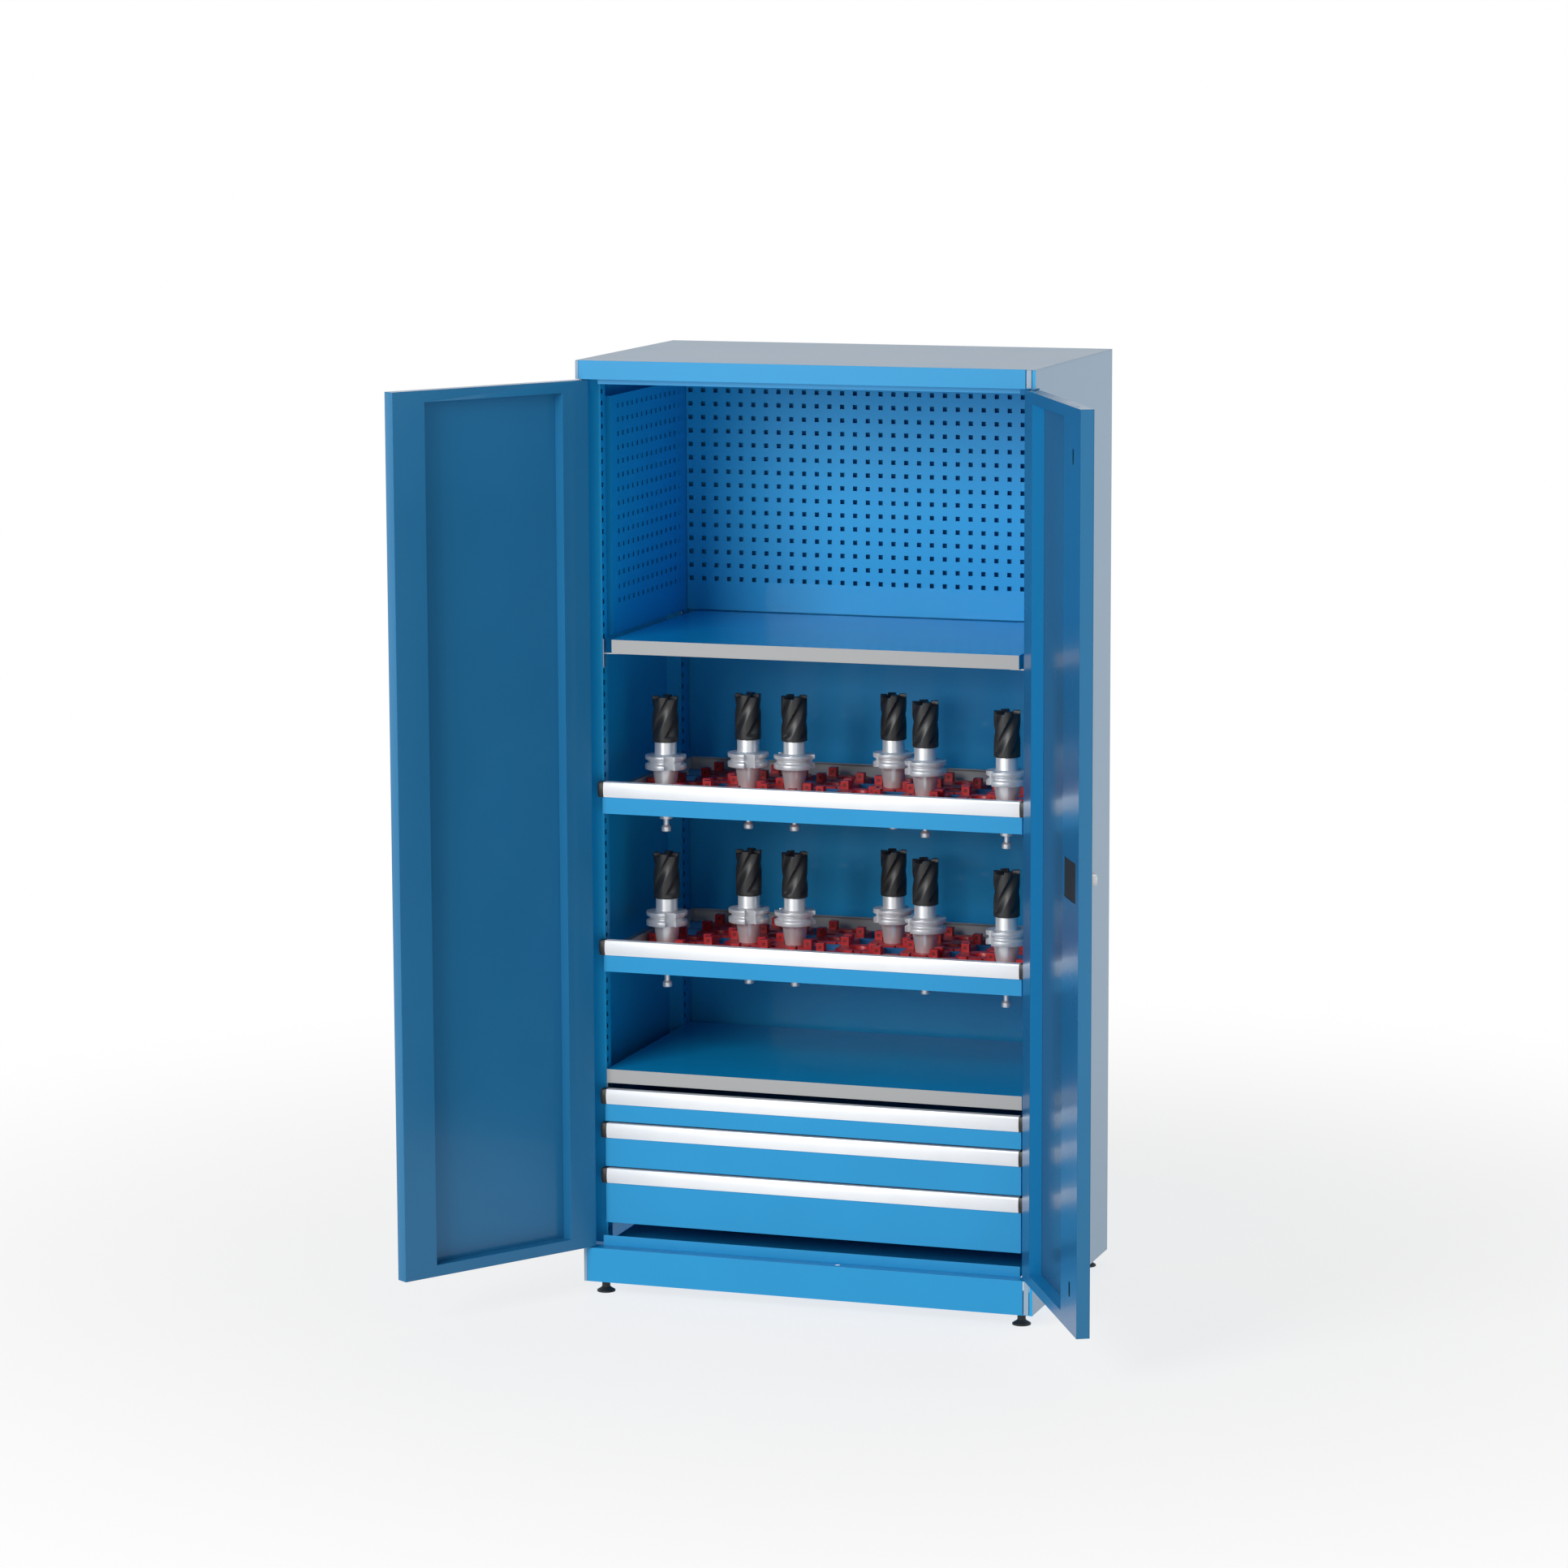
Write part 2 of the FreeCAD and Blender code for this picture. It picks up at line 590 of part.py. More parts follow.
def shelf_clips(top):
    """Four hooked brackets under one shelf, their prongs in the upright slots."""
    seat = top - SHELF_LIP
    prong_z = max(z for z in slot_heights() if z < seat - SLOT_HEIGHT)
    half = CLIP_WIDTH / 2
    prong_y = (SLOT_WIDTH - CLIP_PLAY) / 2
    prong_half = (SLOT_HEIGHT - CLIP_PLAY) / 2
    clips = []
    for y in (FRONT_SLOT_Y, REAR_SLOT_Y):
        bracket = joined([
            block(CLEAR_HALF - CLIP_THICKNESS, CLEAR_HALF, y - half, y + half, seat - CLIP_DROP, top),
            block(CLEAR_HALF - CLIP_TONGUE, CLEAR_HALF, y - half, y + half,
                  seat - CLIP_THICKNESS, seat),
            block(CLEAR_HALF, CLEAR_HALF + CLIP_PRONG, y - prong_y, y + prong_y,
                  prong_z - prong_half, prong_z + prong_half),
        ])
        clips += both_sides(bracket)
    return clips


def foot_pads():
    """Moulded pads with a rimmed base and a hub that takes the screw."""
    slope_top = FOOT_PAD_RIM + FOOT_PAD_SLOPE
    neck_top = FOOT_HEIGHT - FOOT_HUB_HEIGHT
    profile = [
        (0, 0),
        (FOOT_PAD_RADIUS, 0),
        (FOOT_PAD_RADIUS, FOOT_PAD_RIM),
        (FOOT_PAD_RADIUS - FOOT_FLARE, slope_top),
        (FOOT_NECK_RADIUS + FOOT_FLARE, slope_top + FOOT_FLARE),
        (FOOT_NECK_RADIUS, slope_top + 2 * FOOT_FLARE),
        (FOOT_NECK_RADIUS, neck_top - FOOT_FLARE),
        (FOOT_HUB_RADIUS, neck_top),
        (FOOT_HUB_RADIUS, FOOT_HEIGHT),
        (0, FOOT_HEIGHT),
    ]
    return [
        turned(profile, x, y).cut(rod(FOOT_SCREW_RADIUS, x, y, FOOT_SCREW_BOTTOM, FOOT_HEIGHT))
        for x, y in foot_places()
    ]


def foot_screws():
    """Screws of the feet, each with its nut on the base return."""
    seat = FOOT_HEIGHT + PANEL_SHEET
    screws = []
    for x, y in foot_places():
        shank = rod(FOOT_SCREW_RADIUS, x, y, FOOT_SCREW_BOTTOM, FOOT_SCREW_BOTTOM + FOOT_SCREW_LENGTH)
        nut = hexagon_nut(x, y, seat, seat + FOOT_NUT_HEIGHT, FOOT_NUT_WIDTH)
        screws.append(joined([shank, nut]))
    return screws


def hinge_pins():
    """Pivot pins: the lower ones carry a collar that the door stands on."""
    sheet = PANEL_SHEET
    lower = joined([
        rod(PIN_RADIUS, PIVOT_X, PIVOT_Y, PLINTH_TOP - PIN_REACH, DOOR_BOTTOM + PIN_REACH),
        rod(PIN_COLLAR_RADIUS, PIVOT_X, PIVOT_Y, PLINTH_TOP, DOOR_BOTTOM),
    ])
    upper = joined([
        rod(PIN_RADIUS, PIVOT_X, PIVOT_Y, DOOR_TOP - PIN_REACH, HEAD + PIN_REACH),
        rod(PIN_COLLAR_RADIUS, PIVOT_X, PIVOT_Y, HEAD + sheet, HEAD + 2 * sheet),
    ])
    return both_sides(lower) + both_sides(upper)


# ---- doors, modelled closed as the right-hand door ----
def door_pan():
    """Outer skin of a door with its four folded edges."""
    sheet = DOOR_SHEET
    inner = DOOR_INNER - DOOR_FRAME_SHEET
    body = block(DOOR_FREE, DOOR_HINGE_END, FRONT, inner, DOOR_BOTTOM, DOOR_TOP)
    hollow = block(DOOR_FREE + sheet, DOOR_HINGE_END - sheet, FRONT + sheet, inner,
                   DOOR_BOTTOM + sheet, DOOR_TOP - sheet)
    pin_hole = rod(PIN_RADIUS + PIN_CLEARANCE, PIVOT_X, PIVOT_Y, DOOR_BOTTOM, DOOR_TOP)
    return body.cut([hollow, pin_hole])


def door_frame(free_stile):
    """Inner frame of a door: a ring whose window is folded in to meet the skin."""
    sheet = DOOR_FRAME_SHEET
    ring_face = DOOR_INNER - sheet
    x0 = DOOR_FREE + free_stile
    x1 = DOOR_HINGE_END - DOOR_HINGE_STILE
    z0 = DOOR_BOTTOM + DOOR_RAIL
    z1 = DOOR_TOP - DOOR_RAIL
    ring = block(DOOR_FREE, DOOR_HINGE_END, ring_face, DOOR_INNER, DOOR_BOTTOM, DOOR_TOP)
    fold = block(x0, x1, FRONT + DOOR_SHEET, ring_face, z0, z1)
    window = block(x0 + sheet, x1 - sheet, FRONT, DOOR_INNER, z0 + sheet, z1 - sheet)
    return joined([ring, fold]).cut(window)


def rounded_slot(x, z, width, height, y0, y1):
    """Cutter for an upright slot with round ends."""
    radius = width / 2
    half = height / 2 - radius
    return joined([
        block(x - radius, x + radius, y0, y1, z - half, z + half),
        cross_rod(radius, x, z - half, y0, y1),
        cross_rod(radius, x, z + half, y0, y1),
    ])


def lock_window():
    """Ends of the lock opening in the inner frame: x0, x1, z0, z1."""
    x0 = DOOR_FREE + LOCK_WINDOW_INSET
    half = LOCK_WINDOW_HEIGHT / 2
    return x0, x0 + LOCK_WINDOW_WIDTH, LOCK_Z - half, LOCK_Z + half


def locked_door_pan():
    """Skin of the lock door, with the holes for the spindle and the rods."""
    holes = [
        cross_rod(SPINDLE_RADIUS + SPINDLE_CLEARANCE, SPINDLE_X, LOCK_Z, FRONT, DOOR_INNER),
        rod(ROD_RADIUS + ROD_CLEARANCE, ROD_X, ROD_Y, DOOR_BOTTOM, DOOR_TOP),
    ]
    return door_pan().cut(holes)


def locked_door_frame():
    """Inner frame of the lock door, with the lock opening and two rod slots."""
    x0, x1, z0, z1 = lock_window()
    y0 = DOOR_INNER - DOOR_FRAME_SHEET
    cutters = [block(x0, x1, y0, DOOR_INNER, z0, z1)]
    for z in (DOOR_BOTTOM + ROD_SLOT_FROM_BOTTOM, DOOR_TOP - ROD_SLOT_FROM_TOP):
        cutters.append(rounded_slot(ROD_X, z, ROD_SLOT_WIDTH, ROD_SLOT_HEIGHT, y0, DOOR_INNER))
    return door_frame(DOOR_LOCK_STILE).cut(cutters)


def lock_case():
    """Lock body, set in its opening against the skin."""
    x0, x1, z0, z1 = lock_window()
    body = block(x0 + LOCK_FIT, x1 - LOCK_FIT, FRONT + DOOR_SHEET, DOOR_INNER - LOCK_FIT,
                 z0 + LOCK_FIT, z1 - LOCK_FIT)
    depth = DOOR_INNER - LOCK_CASE_FLOOR
    return body.cut(cross_rod(SPINDLE_RADIUS + SPINDLE_CLEARANCE, SPINDLE_X, LOCK_Z, FRONT, depth))


def lock_escutcheon():
    """Plate on the skin round the lever."""
    x = SPINDLE_X
    half = LOCK_PLATE_WIDTH / 2
    tall = LOCK_PLATE_HEIGHT / 2
    plate = block(x - half, x + half, FRONT - LOCK_PLATE_THICKNESS, FRONT, LOCK_Z - tall, LOCK_Z + tall)
    upright_edges = [e for e in plate.Edges if abs(e.tangentAt(e.FirstParameter).y) > 0.9]
    plate = plate.makeFillet(LOCK_PLATE_ROUND, upright_edges)
    return plate.cut(cross_rod(SPINDLE_RADIUS + SPINDLE_CLEARANCE, x, LOCK_Z,
                               FRONT - LOCK_PLATE_THICKNESS, FRONT))


def lock_handle():
    """Lever with its spindle; it lies level when the door is unlocked."""
    x = SPINDLE_X
    grip_back = FRONT - LEVER_STANDOFF + LEVER_THICKNESS
    radius = LEVER_WIDTH / 2
    reach = LEVER_LENGTH - LEVER_WIDTH
    grip = joined([
        cross_rod(radius, x, LOCK_Z, grip_back - LEVER_THICKNESS, grip_back),
        cross_rod(radius, x + reach, LOCK_Z, grip_back - LEVER_THICKNESS, grip_back),
        block(x, x + reach, grip_back - LEVER_THICKNESS, grip_back, LOCK_Z - radius, LOCK_Z + radius),
    ])
    hub_end = FRONT - LOCK_PLATE_THICKNESS - LEVER_HUB_GAP
    hub = cross_rod(radius - LEVER_HUB_STEP, x, LOCK_Z, grip_back, hub_end)
    spindle_end = DOOR_INNER - LOCK_CASE_FLOOR - SPINDLE_END_GAP
    spindle = cross_rod(SPINDLE_RADIUS, x, LOCK_Z, grip_back, spindle_end)
    return joined([grip, hub, spindle])


def lock_rod_upper():
    """Rod above the lock, drawn in."""
    start = LOCK_Z + LOCK_WINDOW_HEIGHT / 2 + ROD_CASE_GAP
    return rod(ROD_RADIUS, ROD_X, ROD_Y, start, DOOR_TOP - ROD_END_GAP)


def lock_rod_lower():
    """Rod below the lock, drawn in."""
    start = LOCK_Z - LOCK_WINDOW_HEIGHT / 2 - ROD_CASE_GAP
    return rod(ROD_RADIUS, ROD_X, ROD_Y, DOOR_BOTTOM + ROD_END_GAP, start)


def rod_guides():
    """Four guide blocks on the skin, two to a rod."""
    half = GUIDE_WIDTH / 2
    guides = []
    case_top = LOCK_Z + LOCK_WINDOW_HEIGHT / 2
    case_bottom = LOCK_Z - LOCK_WINDOW_HEIGHT / 2
    for z in (DOOR_BOTTOM + GUIDE_INSET, case_bottom - GUIDE_INSET,
              case_top + GUIDE_INSET, DOOR_TOP - GUIDE_INSET):
        guide = block(ROD_X - half, ROD_X + half, FRONT + DOOR_SHEET, ROD_Y + ROD_RADIUS + GUIDE_WALL,
                      z - GUIDE_HEIGHT / 2, z + GUIDE_HEIGHT / 2)
        bore = rod(ROD_RADIUS + ROD_CLEARANCE, ROD_X, ROD_Y, z - GUIDE_HEIGHT, z + GUIDE_HEIGHT)
        guides.append(guide.cut(bore))
    return guides


def swung_right(shape):
    """Turns a piece of the right door about its pivot to the open place."""
    return shape.rotate(FreeCAD.Vector(PIVOT_X, PIVOT_Y, 0), FreeCAD.Vector(0, 0, 1), RIGHT_DOOR_ANGLE)


def swung_left(shape):
    """Mirrors a right-hand piece and turns it about the left pivot to the open place."""
    return mirrored(shape).rotate(
        FreeCAD.Vector(-PIVOT_X, PIVOT_Y, 0), FreeCAD.Vector(0, 0, 1), -LEFT_DOOR_ANGLE)


# ---- runners, pull handles and drawers ----
def channel_along_y(web_x0, web_x1, lip_x0, lip_x1, z, height, y0, y1, sheet):
    """A channel section running along Y, with its web and two lips."""
    half = height / 2
    return joined([
        block(web_x0, web_x1, y0, y1, z - half, z + half),
        block(lip_x0, lip_x1, y0, y1, z + half - sheet, z + half),
        block(lip_x0, lip_x1, y0, y1, z - half, z - half + sheet),
    ])


def outer_runner(z):
    """Member fixed to the uprights, open to the middle of the cabinet."""
    sheet = RUNNER_SHEET
    return channel_along_y(CLEAR_HALF - sheet, CLEAR_HALF, CLEAR_HALF - sheet - RUNNER_LIP, CLEAR_HALF,
                           z, RUNNER_HEIGHT, RUNNER_FRONT, RUNNER_BACK, sheet)


def middle_runner(z):
    """Member that runs inside the outer one and travels half as far as the load."""
    sheet = RUNNER_SHEET
    height = RUNNER_HEIGHT - 2 * (sheet + RUNNER_GAP)
    web_x1 = CLEAR_HALF - sheet - 2 * RUNNER_GAP
    return channel_along_y(web_x1 - sheet, web_x1, web_x1 - sheet - RUNNER_LIP, web_x1,
                           z, height, RUNNER_FRONT, RUNNER_BACK - RUNNER_SETBACK, sheet)


def inner_runner(z):
    """Rail welded to the side of a drawer or tool frame, open outwards."""
    sheet = RUNNER_SHEET
    height = RUNNER_HEIGHT - 4 * (sheet + RUNNER_GAP)
    lip_x1 = CLEAR_HALF - 2 * sheet - 4 * RUNNER_GAP
    return channel_along_y(BOX_HALF, BOX_HALF + sheet, BOX_HALF, lip_x1,
                           z, height, RUNNER_FRONT, RUNNER_BACK - 2 * RUNNER_SETBACK, sheet)


def grip_wire(x, bottom, inset):
    """Section of the pull handle: flat back, crowned front."""
    back = GRIP_BACK - inset
    front = GRIP_FRONT + GRIP_CROWN + inset
    crown = GRIP_FRONT + inset
    z0 = bottom + inset
    z1 = bottom + GRIP_HEIGHT - inset
    corners = [FreeCAD.Vector(x, y, z) for y, z in ((front, z0), (back, z0), (back, z1), (front, z1))]
    edges = [Part.makeLine(corners[i], corners[i + 1]) for i in range(3)]
    middle = FreeCAD.Vector(x, crown, (z0 + z1) / 2)
    edges.append(Part.Arc(corners[3], middle, corners[0]).toShape())
    return Part.Wire(edges)


def pull_handle(bottom):
    """Hollow extruded bar across the front."""
    outer = Part.Face(grip_wire(-GRIP_HALF, bottom, 0)).extrude(FreeCAD.Vector(2 * GRIP_HALF, 0, 0))
    inner = Part.Face(grip_wire(-GRIP_HALF, bottom, GRIP_WALL)).extrude(FreeCAD.Vector(2 * GRIP_HALF, 0, 0))
    return outer.cut(inner)


def end_caps(bottom):
    """Moulded caps on both ends of a pull handle."""
    cap = Part.Face(grip_wire(GRIP_HALF, bottom, 0)).extrude(FreeCAD.Vector(CAP_WIDTH, 0, 0))
    outer_x = GRIP_HALF + CAP_WIDTH
    rim = [e for e in cap.Edges if abs(e.CenterOfMass.x - outer_x) < 0.01]
    return both_sides(cap.makeFillet(CAP_ROUND, rim))


def folded_front(bottom, top):
    """Front sheet under and behind the pull handle, folded back at all its edges."""
    sheet = FRONT_SHEET
    step = top - GRIP_HEIGHT - FRONT_SEAM
    section = [
        (FRONT_FACE, bottom),
        (FRONT_BACK, bottom),
        (FRONT_BACK, bottom + sheet),
        (FRONT_FACE + sheet, bottom + sheet),
        (FRONT_FACE + sheet, step - sheet),
        (FRONT_BACK, step - sheet),
        (FRONT_BACK, top - sheet),
        (GRIP_BACK, top - sheet),
        (GRIP_BACK, step),
        (FRONT_FACE, step),
    ]
    end_plate = block(FRONT_HALF - sheet, FRONT_HALF, FRONT_FACE, FRONT_BACK, bottom, step)
    return [bar_along_x(section, -FRONT_HALF, FRONT_HALF)] + both_sides(end_plate)


def drawer(size):
    """Drawer: folded front, open tray and the rails on its sides."""
    base = DRAWER_BASE[size]
    top = base + DRAWER_HEIGHTS[size]
    sheet = DRAWER_SHEET
    z0 = base + TRAY_RISE
    z1 = top - TRAY_TOP_GAP
    tray = block(-BOX_HALF, BOX_HALF, FRONT_BACK, TRAY_BACK, z0, z1)
    hollow = block(-BOX_HALF + sheet, BOX_HALF - sheet, FRONT_BACK + sheet, TRAY_BACK - sheet,
                   z0 + sheet, z1)
    rails = both_sides(inner_runner(base + RUNNER_RISE))
    return joined([tray.cut(hollow)] + folded_front(base + FRONT_BOTTOM_GAP, top) + rails)


# ---- tool frames ----
def carrier_y(line):
    """Middle of a carrier, counted from the front."""
    return POST_FACE + FIRST_CARRIER_SETBACK + line * SOCKET_ROW_PITCH


def row_count():
    """How many socket rows fit between the front and the rear rail of a frame."""
    return int((TRAY_BACK - FRONT_SHEET - CARRIER_WIDTH / 2 - carrier_y(0)) / SOCKET_ROW_PITCH)


def socket_row_y(row):
    """Middle of a socket row, halfway between two carriers."""
    return carrier_y(row) + SOCKET_ROW_PITCH / 2


def tool_x(side, distance):
    """Place across the frame, from a distance to one of its sides."""
    return side * (BOX_HALF - distance)


def row_places(row):
    """Places of one row's sockets: those of the tools, those between, and outwards to the sides."""
    used = [tool_x(side, distance) for side, distance, tool_row, _, _ in TOOLS if tool_row == row]
    if not used:
        return row_places(row - 1)
    pitch = SOCKET_PITCH[row]
    edge = BOX_HALF - FRONT_SHEET - INSERT_WIDTH / 2
    places = list(used)
    for left, right in zip(used, used[1:]):
        count = int((right - left) / pitch)
        places += [left + (right - left) * i / count for i in range(1, count)]
    reach = used[-1] + pitch
    while reach <= edge:
        places.append(reach)
        reach += pitch
    reach = used[0] - pitch
    while reach >= -edge:
        places.append(reach)
        reach -= pitch
    return sorted(places)


def tool_frame(base):
    """Open frame: folded front, two sides, a rear rail and the runner rails."""
    sheet = FRONT_SHEET
    z0 = base + FRAME_SIDE_BOTTOM
    z1 = z0 + FRAME_SIDE_HEIGHT
    ring = block(-BOX_HALF, BOX_HALF, FRONT_BACK, TRAY_BACK, z0, z1)
    opening = block(-BOX_HALF + sheet, BOX_HALF - sheet, FRONT_BACK + sheet, TRAY_BACK - sheet, z0, z1)
    rear_flange = block(-BOX_HALF, BOX_HALF, TRAY_BACK - REAR_FLANGE_DEPTH, TRAY_BACK, z1 - sheet, z1)
    rails = both_sides(inner_runner(base + FRAME_RUNNER_RISE))
    front = folded_front(base, base + FRAME_FRONT_HEIGHT)
    return joined([ring.cut(opening), rear_flange] + front + rails)


def carriers(base):
    """Channels across the frame that the socket inserts clip onto."""
    half = BOX_HALF - FRONT_SHEET
    z0 = base + CARRIER_BASE
    z1 = z0 + CARRIER_HEIGHT
    wide = CARRIER_WIDTH / 2
    bars = []
    for line in range(row_count() + 1):
        y = carrier_y(line)
        body = block(-half, half, y - wide, y + wide, z0, z1)
        hollow = block(-half, half, y - wide + CARRIER_WALL, y + wide - CARRIER_WALL,
                       z0, z1 - CARRIER_WALL)
        bars.append(body.cut(hollow))
    return bars


def taper_radius(below_flange):
    """Radius of the holder's taper at a distance under the flange."""
    return TAPER_RADIUS - below_flange * TAPER_RATIO / 2


def insert_top(base):
    """Height of the upper face of the inserts."""
    return base + CARRIER_BASE + CARRIER_HEIGHT + INSERT_HOOK


def flange_bottom(base):
    """Height of the underside of a seated holder's flange."""
    return insert_top(base) + HOLDER_RISE


def insert(base, x, y):
    """Socket insert: a block with a tapered hole, hooks over the carriers and two key lugs."""
    top = insert_top(base)
    bottom = top - INSERT_THICKNESS
    half_x = INSERT_WIDTH / 2
    half_y = (SOCKET_ROW_PITCH - CARRIER_WIDTH) / 2 - INSERT_RAIL_GAP
    hook_y = SOCKET_ROW_PITCH / 2 - INSERT_RAIL_GAP
    hook_x = INSERT_HOOK_LENGTH / 2
    cut = INSERT_CHAMFER
    corners = [
        (-half_x + cut, -half_y),
        (half_x, -half_y),
        (half_x, half_y - cut),
        (half_x - cut, half_y),
        (-half_x, half_y),
        (-half_x, -half_y + cut),
    ]
    outline = outline_wire([FreeCAD.Vector(u, v, bottom) for u, v in corners])
    body = Part.Face(outline).extrude(FreeCAD.Vector(0, 0, INSERT_THICKNESS))
    lug_x = half_x - LUG_SIZE
    lug_y = half_y - LUG_SIZE
    solid = joined([
        body,
        block(-hook_x, hook_x, -hook_y, hook_y, top - INSERT_HOOK, top),
        block(lug_x, half_x, -half_y, -lug_y, top, top + LUG_HEIGHT),
        block(-half_x, -lug_x, lug_y, half_y, top, top + LUG_HEIGHT),
    ])
    socket = Part.makeCone(
        taper_radius(HOLDER_RISE + INSERT_THICKNESS), taper_radius(HOLDER_RISE), INSERT_THICKNESS,
        FreeCAD.Vector(0, 0, bottom))
    solid = solid.cut(socket)
    solid.translate(FreeCAD.Vector(x, y, 0))
    return solid


def inserts(base):
    """All the socket inserts of one frame, used and empty."""
    rows = [row for row in USED_ROWS if row < row_count()]
    return [insert(base, x, socket_row_y(row)) for row in rows for x in row_places(row)]


def holder(base, x, y, turn):
    """Taper holder: nose, grooved flange with two drive slots, and the taper."""
    low = flange_bottom(base)
    high = low + FLANGE_HEIGHT
    end = low - TAPER_LENGTH
    groove_low = low + FLANGE_LOWER_RING
    groove_high = groove_low + FLANGE_GROOVE_WIDTH
    groove_radius = FLANGE_RADIUS - FLANGE_GROOVE_DEPTH
    profile = [
        (0, end),
        (taper_radius(TAPER_LENGTH), end),
        (TAPER_RADIUS, low),
        (FLANGE_RADIUS - EDGE_CHAMFER, low),
        (FLANGE_RADIUS, low + EDGE_CHAMFER),
        (FLANGE_RADIUS, groove_low),
        (groove_radius, groove_low + FLANGE_GROOVE_SLOPE),
        (groove_radius, groove_high - FLANGE_GROOVE_SLOPE),
        (FLANGE_RADIUS, groove_high),
        (FLANGE_RADIUS, high - EDGE_CHAMFER),
        (FLANGE_RADIUS - EDGE_CHAMFER, high),
        (NOSE_RADIUS + NOSE_FOOT, high),
        (NOSE_RADIUS, high + NOSE_FOOT),
        (NOSE_RADIUS, high + NOSE_HEIGHT),
        (0, high + NOSE_HEIGHT),
    ]
    solid = turned(profile, 0, 0)
    wide = DRIVE_SLOT_WIDTH / 2
    inner = FLANGE_RADIUS - DRIVE_SLOT_DEPTH
    outer = FLANGE_RADIUS + 1
    solid = solid.cut([
        block(-wide, wide, -outer, -inner, low - 1, high + 1),
        block(-wide, wide, inner, outer, low - 1, high + 1),
        rod(STUD_THREAD_RADIUS, 0, 0, end, end + STUD_THREAD_LENGTH),
        rod(ARBOR_RADIUS, 0, 0, high + NOSE_HEIGHT - ARBOR_DEPTH, high + NOSE_HEIGHT),
    ])
    solid.rotate(FreeCAD.Vector(0, 0, 0), FreeCAD.Vector(0, 0, 1), turn)
    solid.translate(FreeCAD.Vector(x, y, 0))
    return solid


def pull_stud(base, x, y):
    """Stud screwed into the small end of the taper."""
    top = flange_bottom(base) - TAPER_LENGTH
    collar = top - STUD_COLLAR_HEIGHT
    shoulder = collar - STUD_NECK_HEIGHT
    bottom = shoulder - STUD_HEAD_HEIGHT
    profile = [
        (0, bottom),
        (STUD_HEAD_RADIUS - EDGE_CHAMFER, bottom),
        (STUD_HEAD_RADIUS, bottom + EDGE_CHAMFER),
        (STUD_HEAD_RADIUS, shoulder - STUD_HEAD_RADIUS + STUD_NECK_RADIUS),
        (STUD_NECK_RADIUS, shoulder),
        (STUD_NECK_RADIUS, collar),
        (STUD_COLLAR_RADIUS, collar),
        (STUD_COLLAR_RADIUS, top),
        (STUD_THREAD_RADIUS, top),
        (STUD_THREAD_RADIUS, top + STUD_THREAD_LENGTH),
        (0, top + STUD_THREAD_LENGTH),
    ]
    return turned(profile, x, y)


def cutter(base, x, y, turn):
    """Round cutter with a notched crown, its spigot in the nose of the holder."""
    bottom = flange_bottom(base) + FLANGE_HEIGHT + NOSE_HEIGHT
    top = bottom + CUTTER_HEIGHT
    profile = [
        (0, bottom - ARBOR_DEPTH),
        (ARBOR_RADIUS, bottom - ARBOR_DEPTH),
        (ARBOR_RADIUS, bottom),
        (CUTTER_RADIUS - EDGE_CHAMFER, bottom),
        (CUTTER_RADIUS, bottom + EDGE_CHAMFER),
        (CUTTER_RADIUS, top),
        (0, top),
    ]
    solid = turned(profile, 0, 0)
    solid = solid.cut(rod(CROWN_CORE_RADIUS, 0, 0, top - CROWN_DEPTH, top))
    wide = CROWN_NOTCH_WIDTH / 2
    for tooth in range(CUTTER_TEETH):
        notch = block(0, CUTTER_RADIUS + 1, -wide, wide, top - CROWN_DEPTH, top)
        notch.rotate(FreeCAD.Vector(0, 0, 0), FreeCAD.Vector(0, 0, 1), (tooth + 0.5) * 360 / CUTTER_TEETH)
        solid = solid.cut(notch)
    solid.rotate(FreeCAD.Vector(0, 0, 0), FreeCAD.Vector(0, 0, 1), turn)
    solid.translate(FreeCAD.Vector(x, y, 0))
    return solid


# ---- build every node ----
right_side = side_panel()
export("side_panel_left", [mirrored(right_side)])
export("side_panel_right", [right_side])
export("back_panel", [back_panel()])
export("top_panel", [block(-HALF_WIDTH, HALF_WIDTH, FRONT + PANEL_SHEET, BACK, TOP - PANEL_SHEET, TOP)])
export("top_fascia", [top_fascia()])
export("corner_trims", corner_trims())
export("floor_panel", [floor_panel()])
export("plinth", [plinth()])
export("perforated_back_panel", [perforated_back_panel()])
export("perforated_side_panels", both_sides(perforated_side_panel()))
export("front_uprights", both_sides(upright(POST_FACE, POST_FACE + UPRIGHT_DEPTH, FRONT_SLOT_Y)))
export("rear_uprights", both_sides(upright(REAR_UPRIGHT_FRONT, REAR_UPRIGHT_BACK, REAR_SLOT_Y)))
export("upper_shelf", [shelf(UPPER_SHELF_TOP, UPPER_SHELF_SIDE_GAP, UPPER_SHELF_SHIFT)])
export("lower_shelf", [shelf(LOWER_SHELF_TOP, LOWER_SHELF_SIDE_GAP)])
export("shelf_clips", shelf_clips(UPPER_SHELF_TOP) + shelf_clips(LOWER_SHELF_TOP))
export("foot_pads", foot_pads())
export("foot_screws", foot_screws())
export("hinge_pins", hinge_pins())

export("left_door_skin", [swung_left(door_pan())])
export("left_door_frame", [swung_left(door_frame(DOOR_FREE_STILE))])
export("right_door_skin", [swung_right(locked_door_pan())])
export("right_door_frame", [swung_right(locked_door_frame())])
export("lock_case", [swung_right(lock_case())])
export("lock_escutcheon", [swung_right(lock_escutcheon())])
export("lock_handle", [swung_right(lock_handle())])
export("lock_rod_upper", [swung_right(lock_rod_upper())])
export("lock_rod_lower", [swung_right(lock_rod_lower())])
export("rod_guides", [swung_right(guide) for guide in rod_guides()])

